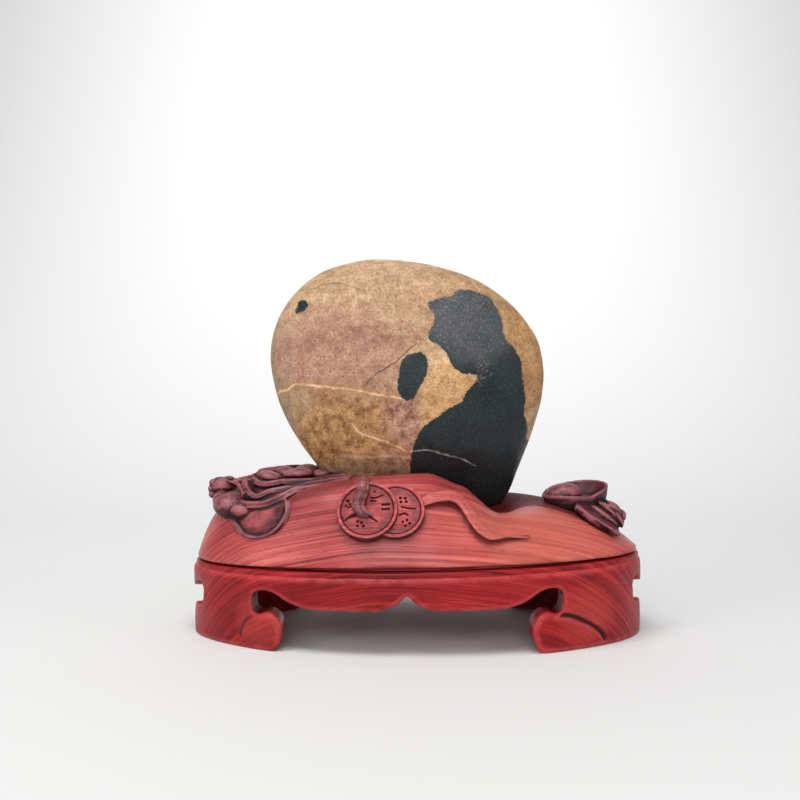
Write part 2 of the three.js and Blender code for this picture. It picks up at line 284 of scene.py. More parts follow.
floor_material = bpy.data.materials.new("pale floor")
floor_material.use_nodes = True
floor_shader = floor_material.node_tree.nodes["Principled BSDF"]
floor_shader.inputs["Base Color"].default_value = (0.68, 0.68, 0.67, 1)
floor_shader.inputs["Roughness"].default_value = 0.8
floor.data.materials.append(floor_material)

# %% [markdown]
# A material is a tree of nodes that works a colour, a gloss and a fine relief out of the place
# of a point on the object. These short helpers add a node, set or link its sockets by name, and
# give back the socket that the next node needs. Places are in metres, so a noise of scale 1000
# has features of about one millimetre.


# %% Helpers for materials
class Finish:
    """A material under construction, with its shader and its place on the object."""

    def __init__(self, name, **shader_values):
        self.material = bpy.data.materials.new(name)
        self.material.use_nodes = True
        self.tree = self.material.node_tree
        self.shader = self.tree.nodes["Principled BSDF"]
        for socket, value in shader_values.items():
            self.shader.inputs[socket.replace("_", " ")].default_value = value
        self.place = self.add("TexCoord").outputs["Object"]

    def add(self, kind, inputs=(), **settings):
        made = self.tree.nodes.new("ShaderNode" + kind)
        for name, value in settings.items():
            setattr(made, name, value)
        for name, value in dict(inputs).items():
            self.join(value, made.inputs[name])
        return made

    def join(self, value, socket):
        if isinstance(value, bpy.types.NodeSocket):
            self.tree.links.new(value, socket)
        else:
            socket.default_value = value

    def work_out(self, operation, *values):
        """One step of arithmetic."""
        made = self.add("Math", operation=operation)
        for i, value in enumerate(values):
            self.join(value, made.inputs[i])
        return made.outputs[0]

    def times(self, first, second):
        return self.work_out("MULTIPLY", first, second)

    def plus(self, first, second):
        return self.work_out("ADD", first, second)

    def minus(self, first, second):
        return self.work_out("SUBTRACT", first, second)

    def mix(self, share, first, second, blend="MIX"):
        """One colour laid on another by a share from 0 to 1."""
        made = self.add("Mix", data_type="RGBA", blend_type=blend, clamp_factor=True)
        self.join(share, made.inputs[0])
        self.join(first, made.inputs[6])
        self.join(second, made.inputs[7])
        return made.outputs[2]

    def noise(self, scale, detail=3.0, roughness=0.55, place=None):
        inputs = {"Vector": place or self.place, "Scale": scale, "Detail": detail, "Roughness": roughness}
        return self.add("TexNoise", inputs).outputs["Fac"]

    def cells(self, scale):
        """Cell noise: the distance to the nearest cell's middle, and a random number per cell."""
        made = self.add("TexVoronoi", {"Vector": self.place, "Scale": scale})
        number = self.add("SeparateColor", {"Color": made.outputs["Color"]}).outputs[0]
        return made.outputs["Distance"], number

    def ramp(self, value, low, high, to_low=0.0, to_high=1.0):
        """A value between two limits drawn out smoothly to two others."""
        inputs = {"Value": value, "From Min": low, "From Max": high, "To Min": to_low, "To Max": to_high}
        return self.add("MapRange", inputs, interpolation_type="SMOOTHSTEP").outputs[0]

    def stretched(self, x, y, z):
        """The place with each direction scaled, for streaks."""
        return self.add("Mapping", {"Vector": self.place, "Scale": (x, y, z)}).outputs[0]

    def attribute(self, name):
        """A number that was kept at each point of the mesh."""
        return self.add("Attribute", attribute_name=name).outputs["Fac"]

    def combined(self, x=0.0, y=0.0, z=0.0):
        return self.add("CombineXYZ", {0: x, 1: y, 2: z}).outputs[0]

    def zone(self, middle, reach, ragged=0.25, size=60):
        """A soft round patch: 1 inside, 0 outside, with an edge broken by noise. In millimetres."""
        offset = self.add("VectorMath", {0: self.place, 1: [v * MM for v in middle]}, operation="SUBTRACT")
        inputs = {0: offset.outputs[0], 1: [1 / (v * MM) for v in reach]}
        scaled = self.add("VectorMath", inputs, operation="MULTIPLY").outputs[0]
        length = self.add("VectorMath", {0: scaled}, operation="LENGTH").outputs["Value"]
        edge = self.times(self.minus(self.noise(size, 4), 0.5), ragged * 4)
        return self.ramp(self.plus(length, edge), 1.3, 0.6)

    def tinted(self, colour, patches, size=60):
        """Lays colours on in soft patches: middle, reach, raggedness, share and tint of each."""
        for middle, reach, ragged, share, tint in patches:
            colour = self.mix(self.times(self.zone(middle, reach, ragged, size), share), colour, tint)
        return colour

    def relief(self, height, strength, depth):
        """Fine relief in the shading: depth in millimetres."""
        inputs = {"Height": height, "Strength": strength, "Distance": depth * MM}
        self.join(self.add("Bump", inputs).outputs[0], self.shader.inputs["Normal"])

    def done(self, colour, roughness):
        self.join(colour, self.shader.inputs["Base Color"])
        self.join(roughness, self.shader.inputs["Roughness"])
        print("finish:", self.material.name, len(self.tree.nodes), "nodes")
        return self.material


# %% [markdown]
# The stone is a hard river pebble, rounded by water all over. A ball pushed about by hand would
# have to be matched to the seat afterwards, so this starts from a copy of the CAD stone, whose
# shape the seat already fits. The copy's loose triangles are merged, subdivision rounds them to
# a smooth skin, and noise gives it the slight unevenness that a hand feels on such a stone.

# %% Stone: shape
stone = new_object("river_stone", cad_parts["stone"].data.copy())
mend_normals(stone)
modify(stone, "SUBSURF", levels=3, render_levels=3)
modify(stone, "SMOOTH", factor=0.5, iterations=6)
roughen(stone, 38, 1.3)
roughen(stone, 13, 0.45, seed=31)
roughen(stone, 4, 0.12, seed=57)

# %% [markdown]
# The marks of the stone are minerals in it: a big black patch that wraps round the right side, a
# dark oval, a small dark spot, pale veins and a brown crack. Each is drawn as a few points on
# the upright plane through the middle of the stone, in millimetres of x and z, and laid on the
# round face from where the eye is, as a slide is thrown on it. The distance to the drawn edge is
# kept at each point of the mesh, so the material can break the edge up finely.


# %% Stone: how far each point is from a drawn mark
def as_seen(points):
    """Where the eye sees each point, on the upright plane through the middle."""
    reach = -EYE[1] / (points[:, 1] - EYE[1])
    x = EYE[0] + (points[:, 0] - EYE[0]) * reach
    z = EYE[2] + (points[:, 2] - EYE[2]) * reach
    return np.column_stack([x, z])


def inside_distance(flat, outline):
    """How far each point is inside a closed outline, and less than nothing outside it."""
    nearest = np.full(len(flat), np.inf)
    inside = np.zeros(len(flat), bool)
    x, z = flat.T
    for (ax, az), (bx, bz) in zip(outline, np.roll(outline, -1, axis=0)):
        ex, ez = bx - ax, bz - az
        share = np.clip(((x - ax) * ex + (z - az) * ez) / (ex * ex + ez * ez), 0, 1)
        nearest = np.minimum(nearest, np.hypot(x - ax - share * ex, z - az - share * ez))
        if az != bz:
            inside ^= ((az > z) != (bz > z)) & (x < ex * (z - az) / ez + ax)
    return np.where(inside, nearest, -nearest)


def across_line(flat, line):
    """For each point: its distance to one side of a line, and how far it lies past the ends."""
    nearest = np.full(len(flat), np.inf)
    side = np.zeros(len(flat))
    past = np.zeros(len(flat))
    last = len(line) - 2
    for i, (start, end) in enumerate(zip(line, line[1:])):
        length = np.hypot(*(end - start))
        unit = (end - start) / length
        offset = flat - start
        along = offset @ unit
        across = offset[:, 0] * unit[1] - offset[:, 1] * unit[0]
        over = along - np.clip(along, 0, length)
        distance = np.hypot(over, across)
        near = distance < nearest
        nearest[near] = distance[near]
        side[near] = across[near]
        open_end = (over < 0) & (i == 0) | (over > 0) & (i == last)
        past[near] = np.where(open_end, np.abs(over), 0)[near]
    return side, past


def from_line(flat, line, steps=5):
    """The distance of each point from a smooth line through a few chosen points."""
    return np.hypot(*across_line(flat, smooth_line(line, steps=steps)))


def ridge(away, half_width):
    """1 on a line, falling off softly to both sides."""
    return np.exp(-((away / half_width) ** 2))


def keep(thing, name, values):
    layer = thing.data.attributes.new(name, "FLOAT", "POINT")
    layer.data.foreach_set("value", np.asarray(values, np.float32))


# %% Stone: the marks as drawn
BLACK_PATCH = [
    (5.7, 161.4), (10.5, 163.3), (15.7, 164.3), (20, 166.7), (24.3, 167.6), (29.6, 166.7),
    (34.4, 164.8), (37.7, 161.9), (40.1, 157.6), (42.5, 151.9), (42.8, 146.1), (44.9, 141.8),
    (48.7, 138), (51.1, 133.7), (52.6, 127.9), (53.5, 120.3), (54, 112.6), (54, 105),
    (54.9, 98.3), (56.5, 92), (78, 90), (78, 40), (-12, 40), (-6, 66), (-3.9, 74.4),
    (-3.4, 80.1), (-2.5, 85.9), (-1.5, 90.6), (0.9, 95.4), (4.7, 100.2), (10.5, 104),
    (16.2, 108.3), (21.9, 111.7), (24.8, 116.5), (28.6, 121.2), (30, 123.6), (27, 125.6),
    (24.3, 125.1), (19.5, 127.5), (17.2, 130.8), (14.8, 135.6), (10.5, 139.9), (6.2, 142.6),
    (6, 146.6), (8.2, 150.4), (8.4, 154.6), (6.4, 158),
]
BLACK_PATCH_BEHIND = [
    (78, 90), (56, 93), (47, 99), (36, 97), (29, 88), (18, 84), (8, 73), (-6, 62),
    (-12, 40), (78, 40),
]
DARK_OVAL = [
    (1.4, 136.5), (4.7, 133.7), (5.9, 129.9), (4, 124.1), (1.4, 118.4), (-2, 113.1),
    (-5.3, 112.2), (-8.2, 114.1), (-9.6, 118.4), (-9.4, 125.1), (-7.7, 130.8), (-4.8, 134.6),
]
DARK_SPOT = [(-59.5, 161.5), (-55.5, 162), (-54.6, 159), (-57, 156.6), (-60.6, 155.4), (-60, 158.5)]
DARK_SPOT_BEHIND = [(28, 150), (33, 152), (37, 148), (35, 142), (30, 141), (27, 145)]
UPPER_VEIN = [
    (-74, 113), (-68, 116.5), (-64.2, 117.4), (-60.3, 120.3), (-49.8, 119.1), (-37.4, 117.9),
    (-28.8, 116.9), (-17.3, 114.5), (-8, 113.2),
]
UPPER_VEIN_BEHIND = [
    (-74, 113), (-66, 112), (-50, 118), (-22, 116), (4, 123), (30, 121), (48, 128), (66, 127),
]
LOWER_VEIN = [
    (-32.6, 100.2), (-28.8, 95.9), (-21.1, 93), (-11.5, 89.7), (-3.9, 86.6), (5.7, 87.3),
    (13.3, 85.4), (21, 83), (27.7, 80.1),
]
LOWER_VEIN_BEHIND = [(-62, 96), (-46, 88), (-30, 90), (-14, 80)]
SEAT_BAND = [(-36, 84.5), (-25, 83.6), (-14, 84.2), (-3, 83.4)]
BROWN_CRACK = [
    (-1.5, 139.5), (-3.9, 137.5), (-7.7, 133.7), (-12.5, 130.3), (-17.3, 127), (-21.1, 124.6), (-25, 121),
]
BROWN_CRACK_BEHIND = [(-40, 150), (-28, 158), (-12, 160), (2, 167)]
SCRATCH = [(-51, 168), (-46, 170), (-40, 170.6), (-34, 169.4), (-29.5, 167.2)]

stone_points = points_of(stone)
front = as_seen(stone_points)
behind = stone_points[:, [0, 2]]
to_back = smoothstep(stone_points[:, 1], -2, 2)


def both_sides(in_front, at_back):
    return in_front * (1 - to_back) + at_back * to_back


def inside_marks(flat, *marks):
    """How far each point is inside the nearest of several marks."""
    outlines = [smooth_line(mark, closed=True, steps=4) for mark in marks]
    return np.maximum.reduce([inside_distance(flat, outline) for outline in outlines])


black_front = inside_marks(front, BLACK_PATCH, DARK_OVAL, DARK_SPOT)
black_behind = inside_marks(behind, BLACK_PATCH_BEHIND, DARK_SPOT_BEHIND)
keep(stone, "black", both_sides(black_front, black_behind))
for name, line, line_behind in (
    ("upper_vein", UPPER_VEIN, UPPER_VEIN_BEHIND),
    ("lower_vein", LOWER_VEIN, LOWER_VEIN_BEHIND),
    ("brown_crack", BROWN_CRACK, BROWN_CRACK_BEHIND),
    ("seat_band", SEAT_BAND, SEAT_BAND),
    ("scratch", SCRATCH, SCRATCH),
):
    ahead = across_line(front, smooth_line(line, steps=5))
    back = across_line(behind, smooth_line(line_behind, steps=5))
    keep(stone, name, np.where(to_back < 0.5, ahead[0], back[0]))
    keep(stone, name + "_past", np.where(to_back < 0.5, ahead[1], back[1]))
print("black covers", round(float((black_front > 0).mean()), 3), "of the stone's points")

# %% [markdown]
# The stone's own colour is granular, like a fine sandstone or tuff: tan, with a pinkish middle,
# ochre low on the left and honey beside the oval. The left rim is painted darker, as painted shade.
# Over it lie dark and pale grains of about a millimetre. The black is a dense mineral that takes a
# better polish, grey at the top and blue-green below. Large soft zones, middle-sized mottling and
# fine grains are three sizes of noise, because a stone with only one of them looks like plaster.


# %% Stone: finish
def stone_finish():
    f = Finish("river stone", Specular_IOR_Level=0.26)
    tan, buff = (0.4, 0.24, 0.125, 1), (0.5, 0.33, 0.19, 1)
    pink, ochre, grey = (0.39, 0.205, 0.14, 1), (0.44, 0.215, 0.07, 1), (0.2, 0.15, 0.105, 1)
    honey, left_rim_shade, scab_brown = (0.6, 0.34, 0.15, 1), (0.2, 0.13, 0.1, 1), (0.16, 0.062, 0.03, 1)
    seat_shadow = (0.018, 0.013, 0.012, 1)
    colour = f.mix(f.ramp(f.noise(26, 4), 0.35, 0.65), tan, buff)
    colour = f.tinted(colour, [
        ((-38, -25, 134), (34, 60, 22), 0.3, 1, pink),
        ((-8, -25, 98), (18, 40, 16), 0.3, 1, pink),
        ((-36, -20, 95), (26, 60, 20), 0.3, 0.75, ochre),
        ((14, -25, 112), (14, 40, 24), 0.2, 0.9, honey),
        ((56, -5, 140), (16, 40, 34), 0.3, 0.6, ochre),
        ((-20, -20, 72), (30, 40, 11), 0.3, 0.7, grey),
    ])
    # Faint beds, nearly level, and mottling of a few millimetres that is stronger low on the face
    beds = f.ramp(f.noise(1, 4, place=f.stretched(14, 14, 120)), 0.35, 0.7, 0.86, 1.1)
    low = f.zone((-10, -20, 84), (70, 60, 30), 0.2)
    darkest, lightest = f.ramp(low, 0, 1, 0.68, 0.3), f.ramp(low, 0, 1, 1.24, 1.62)
    mottle = f.ramp(f.noise(190, 6, 0.7), 0.3, 0.7, darkest, lightest)
    grain = f.ramp(f.noise(800, 4, 0.8), 0.32, 0.68, 0.66, 1.27)
    shade = f.times(f.times(beds, mottle), grain)
    warm = f.combined(f.work_out("POWER", shade, 0.8), shade, f.work_out("POWER", shade, 1.15))
    colour = f.mix(1.0, colour, warm, "MULTIPLY")
    # Rough brown spots low on the face, painted shade darkening the left rim, and a painted shadow
    # low on the left where the stone sits behind the carved leaves
    scab = f.times(f.ramp(f.noise(95, 5, 0.7), 0.56, 0.68), low)
    colour = f.mix(f.times(scab, 0.45), colour, scab_brown)
    colour = f.tinted(colour, [
        ((-70, -6, 122), (13, 30, 46), 0.1, 0.3, left_rim_shade),
        ((-47, -20, 66), (9, 50, 6), 0.3, 0.95, seat_shadow),
    ])
    distance, number = f.cells(780)
    spot = f.ramp(distance, 0.5, 0.25)
    dark_grain = f.times(spot, f.ramp(number, 0.84, 0.88))
    pale_grain = f.times(spot, f.ramp(number, 0.13, 0.09))
    colour = f.mix(f.times(dark_grain, 0.42), colour, (0.11, 0.06, 0.04, 1))
    colour = f.mix(f.times(pale_grain, 0.26), colour, (0.72, 0.56, 0.4, 1))
    # The veins waver a little, and fade out past their ends
    waver = f.times(f.minus(f.noise(220, 4), 0.5), 2.6)
    patchy = f.ramp(f.noise(190, 5, 0.7), 0.36, 0.62, 0.2, 1.0)

    def line(name, half_width, reach):
        away = f.work_out("ABSOLUTE", f.plus(f.attribute(name), waver))
        body = f.ramp(away, half_width * 1.6, half_width * 0.5)
        return f.times(body, f.ramp(f.attribute(name + "_past"), reach, 0))

    cream = (0.74, 0.5, 0.31, 1)
    veins = f.work_out("MAXIMUM", line("upper_vein", 0.5, 3), line("lower_vein", 0.5, 3))
    halo = f.times(f.work_out("MAXIMUM", line("upper_vein", 2.4, 3), line("lower_vein", 2, 3)), 0.28)
    colour = f.mix(halo, colour, ochre)
    colour = f.mix(f.times(veins, patchy), colour, cream)
    colour = f.mix(f.times(line("seat_band", 0.8, 5), 0.35), colour, cream)
    colour = f.mix(f.times(line("brown_crack", 0.3, 4), 0.75), colour, (0.07, 0.035, 0.02, 1))
    colour = f.mix(f.times(line("scratch", 0.3, 5), 0.45), colour, (0.09, 0.05, 0.03, 1))
    # Black mineral: a ragged edge, grey above and blue-green below, with fine pale specks
    coarse = f.times(f.minus(f.noise(170, 4, 0.6), 0.5), 3.4)
    fine = f.times(f.minus(f.noise(800, 3, 0.7), 0.5), 3.2)
    edge = f.plus(f.attribute("black"), f.plus(coarse, fine))
    is_black = f.ramp(edge, -0.25, 0.35)
    upper = f.zone((26, -20, 150), (26, 60, 20), 0.15)
    black = f.mix(upper, (0.0095, 0.0165, 0.0185, 1), (0.074, 0.074, 0.08, 1))
    cloud = f.ramp(f.noise(60, 5, 0.6), 0.35, 0.75)
    black = f.mix(f.times(cloud, 0.5), black, (0.024, 0.034, 0.036, 1))
    speck = f.ramp(f.noise(1000, 3, 0.7), 0.5, 0.72)
    black = f.mix(f.times(speck, f.ramp(upper, 0, 1, 0.16, 0.85)), black, (0.19, 0.19, 0.195, 1))
    neck = f.zone((29.6, -30, 126), (3.4, 30, 6.5), 0.6, 300)
    neck_specks = f.times(neck, f.ramp(f.noise(900, 5, 0.75), 0.47, 0.7, 0, 0.8))
    black = f.mix(neck_specks, black, (0.3, 0.24, 0.22, 1))
    vein_in_black = f.times(f.times(line("lower_vein", 0.42, 3), patchy), 0.75)
    black = f.mix(vein_in_black, black, (0.42, 0.4, 0.37, 1))
    colour = f.mix(is_black, colour, black)
    roughness = f.ramp(is_black, 0, 1, 0.56, 0.4)
    roughness = f.plus(roughness, f.ramp(f.noise(300, 3), 0.3, 0.7, -0.05, 0.06))
    dents = f.times(f.noise(170, 5, 0.65), f.ramp(low, 0, 1, 0.8, 2.2))
    pits = f.plus(f.noise(900, 4, 0.7), dents)
    f.relief(f.minus(pits, f.times(dark_grain, 0.5)), 0.5, 0.26)
    return f.done(colour, roughness)


finish_piece(stone, stone_finish(), "stone", "stone")

# %% [markdown]
# All of the stand is one red tropical hardwood under clear lacquer. Its growth rings are layers
# round the heart of the trunk, which lay in front of the stand and below it. So the streaks are a
# noise that changes fast with the distance from that line and slowly along it: they run level on
# the slope and the apron, and turn up in arcs on the rounded ends, as on a real block. Over them
# lie fine fibres and short dark pores. The hollows are darker, partly stain and partly painted
# shade, and the edges lighter, partly wear and partly a painted highlight. How hollow or
# proud each point of a mesh is gets measured once the piece is finished.


# %% Wood: hollows, edges and finish
def keep_hollows(thing, rounds=14, underside_shade=0.0, wide=0):
    """Keeps how far each point lies below (more than nothing) or above its surroundings, in mm, with painted
    shade added on faces that face down.
    """
    points = points_of(thing)
    normals = normals_of(thing)
    count = len(thing.data.edges)
    ends = np.empty(count * 2, int)
    thing.data.edges.foreach_get("vertices", ends)
    a, b = ends.reshape(-1, 2).T
    first, second = np.concatenate([a, b]), np.concatenate([b, a])
    neighbours = np.maximum(np.bincount(first, minlength=len(points)), 1)
    smooth = points.copy()
    hollow = np.zeros(len(points))
    for turn in range(max(rounds, wide)):
        for axis in range(3):
            total = np.bincount(first, smooth[second, axis], minlength=len(points))
            smooth[:, axis] = 0.3 * smooth[:, axis] + 0.7 * total / neighbours
        if turn + 1 in (rounds, wide):
            hollow += ((smooth - points) * normals).sum(axis=1) * (1 if turn + 1 == rounds else 0.35)
    # Faces that face down count as more hollow, so they get painted shade
    facing_down = smoothstep(-normals[:, 2], -0.05, 0.5)
    keep(thing, "hollow", hollow + underside_shade * facing_down)


# In millimetres of y and z
HEART_OF_TRUNK = (-160, -80)
STREAKS_PER_METRE, FIBRES_PER_METRE, BANDS_PER_METRE = 640, 1500, 130
# The darkest of these colours is the colour of painted shade and painted shadow on the top
SALMON, SHADE_DARK, PETAL_LIGHT_ROSE = (0.56, 0.15, 0.085, 1), (0.1, 0.008, 0.012, 1), (0.4, 0.085, 0.09, 1)
TOE_LIGHT_RED, TOE_LIGHT_RED_LEFT = (0.5, 0.05, 0.04, 1), (0.45, 0.05, 0.045, 1)


def wood_finish(
    name, dark, body, light, stain_and_shade=(0.03, 0.006, 0.008, 1), gloss=0.36, depth=0.35, patches=(),
    shine=0.3, patina=0.0,
):
    """A red wood from three colours, a colour for stain and painted shade, its gloss, the depth in mm of
    hollow that is darkened, and patches.
    """
    f = Finish(name, Specular_IOR_Level=shine, Coat_Weight=shine * 0.2, Coat_Roughness=0.22)
    x, y, z = f.add("SeparateXYZ", {0: f.place}).outputs
    bend = f.times(f.minus(f.noise(8, 2), 0.5), 0.014)
    across = f.plus(f.minus(y, HEART_OF_TRUNK[0] * MM), bend)
    up = f.minus(z, HEART_OF_TRUNK[1] * MM)
    from_heart = f.add("VectorMath", {0: f.combined(0, across, up)}, operation="LENGTH")
    ring = from_heart.outputs["Value"]

    def streaks(along, rings, detail, roughness):
        """A noise that is drawn out along the grain."""
        place = f.combined(f.times(x, along), f.times(ring, rings))
        return f.noise(1, detail, roughness, place=place)

    streak = streaks(9, STREAKS_PER_METRE, 6, 0.72)
    fine = streaks(24, FIBRES_PER_METRE, 3, 0.6)
    broad = streaks(5, BANDS_PER_METRE, 4, 0.55)
    colour = f.mix(f.ramp(streak, 0.3, 0.56), dark, body)
    pale_streak = f.times(f.ramp(streak, 0.48, 0.74), f.ramp(broad, 0.35, 0.65, 0.2, 0.9))
    colour = f.mix(pale_streak, colour, light)
    colour = f.mix(f.times(f.ramp(broad, 0.52, 0.3), 0.45), colour, dark)
    thin_line = f.times(f.ramp(streak, 0.4, 0.33), f.ramp(f.noise(26, 3), 0.4, 0.6, 0.2, 1.0))
    colour = f.mix(thin_line, colour, stain_and_shade)
    cloud = f.ramp(f.noise(22, 3), 0.35, 0.7, 0.84, 1.12)
    fibre = f.ramp(fine, 0.3, 0.7, 0.84, 1.16)
    shade = f.times(cloud, fibre)
    colour = f.mix(1.0, colour, f.combined(shade, shade, shade), "MULTIPLY")
    colour = f.tinted(colour, patches, size=40)
    colour = f.mix(f.times(f.attribute("cut_shade"), 0.85), colour, stain_and_shade)
    if patina:
        dull_patch = f.ramp(f.noise(230, 5, 0.65), 0.42, 0.64)
        colour = f.mix(f.times(dull_patch, patina), colour, stain_and_shade)
    # Painted shade and painted shadows, kept on the mesh behind the crest and next to the carving
    painted_shade_share = f.attribute("painted_shade")
    colour = f.mix(f.times(painted_shade_share, 0.94), colour, SHADE_DARK)
    pore = f.ramp(f.noise(1, 1, 0.5, place=f.stretched(150, 1500, 1500)), 0.66, 0.74)
    colour = f.mix(f.times(pore, 0.45), colour, stain_and_shade)
    # Stain and painted shade darken the hollows, and edges are lighter from wear and a painted highlight
    hollow = f.attribute("hollow")
    deep = f.ramp(hollow, 0.04, depth)
    worn_and_lit = f.times(f.ramp(hollow, -0.06, -depth), f.ramp(f.noise(160, 3), 0.3, 0.6, 0.35, 1))
    colour = f.mix(f.times(deep, 0.86), colour, stain_and_shade)
    colour = f.mix(f.times(worn_and_lit, 0.5), colour, light)
    roughness = f.ramp(f.noise(90, 4), 0.3, 0.7, gloss - 0.05, gloss + 0.07)
    roughness = f.plus(roughness, f.times(deep, 0.2))
    roughness = f.plus(roughness, f.times(painted_shade_share, 0.3))
    proud = f.plus(fine, f.times(streak, 0.8))
    f.relief(f.minus(proud, f.times(pore, 1.2)), 0.28, 0.12)
    return f.done(colour, roughness)


TOP_WOOD = wood_finish(
    "top wood", (0.2, 0.018, 0.022, 1), (0.45, 0.07, 0.068, 1), (0.7, 0.22, 0.175, 1),
    stain_and_shade=(0.09, 0.01, 0.013, 1), patches=[((64, -52, 50), (54, 34, 18), 0.3, 0.4, SALMON)], shine=0.24,
)
# The lighter red patches on the two front toes are painted light
BASE_WOOD = wood_finish(
    "base wood", (0.1, 0.003, 0.006, 1), (0.3, 0.009, 0.012, 1), (0.54, 0.066, 0.066, 1), shine=0.17,
    patches=[((78, -50, 14), (18, 14, 14), 0.3, 0.5, TOE_LIGHT_RED),
             ((-70, -50, 14), (12, 14, 12), 0.3, 0.4, TOE_LIGHT_RED_LEFT)],
)
# The rose patch low on the spray is painted light on the face of the lower petal
CARVED_WOOD = wood_finish(
    "carved wood", (0.05, 0.006, 0.009, 1), (0.12, 0.016, 0.024, 1), (0.44, 0.145, 0.165, 1),
    stain_and_shade=(0.007, 0.002, 0.003, 1), gloss=0.42, depth=0.17, patina=0.45,
    patches=[((-76, -37, 58.6), (9.5, 9, 5), 0.3, 0.85, PETAL_LIGHT_ROSE)],
)
STRAP_WOOD = wood_finish(
    "strap wood", (0.11, 0.016, 0.022, 1), (0.22, 0.05, 0.058, 1), (0.52, 0.22, 0.225, 1),
    stain_and_shade=(0.012, 0.003, 0.005, 1), gloss=0.4, depth=0.24, patina=0.4,
)
COIN_WOOD = wood_finish(
    "coin wood", (0.3, 0.024, 0.03, 1), (0.5, 0.066, 0.07, 1), (0.8, 0.25, 0.24, 1),
    stain_and_shade=(0.03, 0.003, 0.004, 1), gloss=0.4, depth=0.2, patina=0.42,
)

# %% [markdown]
# The base is a heavy oval ring that stands on four scrolled feet. It could be cut from a solid
# oval, but a ring is quicker: the outline of its section is drawn once, ring by ring, from a
# circle that is extruded and scaled to the next size and height, and closed on itself. The
# openings between the feet are cut right through with the outline that the CAD model has. A
# carver leaves no sharp edge there, so the ring is remeshed finely and smoothed.


# %% Rings drawn one from another
# The stand rises a little towards its right end: a share of the height for each millimetre of x
RAKE = 0.0005


def rake(x):
    return 1 + RAKE * x


def oval_rings(name, rings, segments, closed_wall=False):
    """A skin through oval rings: (half length, half depth, height) of each, in millimetres."""
    half_length, half_depth, height = rings[0]
    bpy.ops.object.select_all(action="DESELECT")
    fill = "NOTHING" if closed_wall else "NGON"
    bpy.ops.mesh.primitive_circle_add(vertices=segments, radius=1, fill_type=fill)
    thing = bpy.context.object
    thing.name = name
    edit(thing)
    bpy.ops.transform.resize(value=(half_length * MM, half_depth * MM, 1))
    bpy.ops.transform.translate(value=(0, 0, height * MM))
    extrude = bpy.ops.mesh.extrude_edges_move if closed_wall else bpy.ops.mesh.extrude_region_move
    for next_length, next_depth, next_height in rings[1:]:
        extrude()
        bpy.ops.transform.resize(value=(next_length / half_length, next_depth / half_depth, 1))
        bpy.ops.transform.translate(value=(0, 0, (next_height - height) * MM))
        half_length, half_depth, height = next_length, next_depth, next_height
    leave_edit()
    mend_normals(thing)
    return thing


def side_rings(half_length, half_depth, low, high, round_below, round_above, steps=5):
    """Rings of an upright oval side, from low to high, with both edges rounded."""
    rings = []
    for i in range(steps + 1):
        turn = math.radians(90 * i / steps)
        inset = round_below * (1 - math.sin(turn))
        rings.append((half_length - inset, half_depth - inset, low + round_below * (1 - math.cos(turn))))
    for i in range(steps + 1):
        turn = math.radians(90 * i / steps)
        inset = round_above * (1 - math.cos(turn))
        rings.append((half_length - inset, half_depth - inset, high - round_above * (1 - math.sin(turn))))
    return rings


# %% Base: wall, openings and feet
STAND_HALF_LENGTH, STAND_HALF_DEPTH = 110.4, 65
BASE_BODY_HEIGHT, BASE_WALL, FOOT_ROUNDING, SHOULDER_ROUNDING = 34.5, 16, 0.9, 2.4
LIP_TOP, LIP_BOTTOM, LIP_INSET, CEILING = 36.3, 33, 1.2, 29
BASE_SEGMENTS, BASE_VOXEL = 256, 0.75
CUTTER_HALF_LENGTH = {"x": 80, "y": 130}
LONG_OPENING_CENTRE_X = -5.5
# Half of an opening, from its middle to the floor: pairs are straight, fours are curves
LONG_OPENING = [
    (0, 27), (5.5, 20.4, 14, 19.7), (37, 19.7), (48, 19.8, 55, 24.2), (59, 27.4, 64, 27.4),
    (69.3, 27.2, 69.5, 23), (69.5, 19), (68.6, 15, 65, 15.6), (62, 17.6, 59, 16),
    (55.6, 13.6, 55.5, 9.5), (55.8, 4, 58.5, 0.8), (58.5, -4),
]
END_OPENING = [
    (0, 26.5), (3, 23, 7, 22.6), (12, 22.8, 15, 25.4), (18, 27.6, 21.5, 27.2),
    (25.5, 26.4, 25.5, 22.5), (25.3, 16.4, 21.5, 15.6), (18.5, 17.2, 16, 16),
    (12.5, 13.6, 12.2, 9.5), (12.4, 4, 14.5, 0.8), (14.5, -4),
]


def drawn(moves, steps=8):
    """The points of an outline drawn with straight and curved moves."""
    points = [np.array(moves[0], float)]
    for move in moves[1:]:
        start, end = points[-1], np.array(move[-2:], float)
        if len(move) == 2:
            points.append(end)
            continue
        pull = np.array(move[:2], float)
        for t in np.arange(1, steps + 1) / steps:
            points.append(start * (1 - t) ** 2 + 2 * pull * t * (1 - t) + end * t * t)
    return np.array(points)


def opening_cutter(half, across, centre=0):
    """A block with the outline of an opening, mirrored about its middle, right through the base."""
    length = CUTTER_HALF_LENGTH[across]
    points = drawn(half)
    outline = np.vstack([points, (points * [-1, 1])[:0:-1]])
    flat = [(centre + u, -length, z) if across == "x" else (-length, u, z) for u, z in outline]
    block = mesh_object("opening", flat, [list(range(len(flat)))])
    edit(block)
    move = (0, 2 * length * MM, 0) if across == "x" else (2 * length * MM, 0, 0)
    bpy.ops.mesh.extrude_region_move(TRANSFORM_OT_translate={"value": move})
    leave_edit()
    mend_normals(block, gap=0.001)
    return block


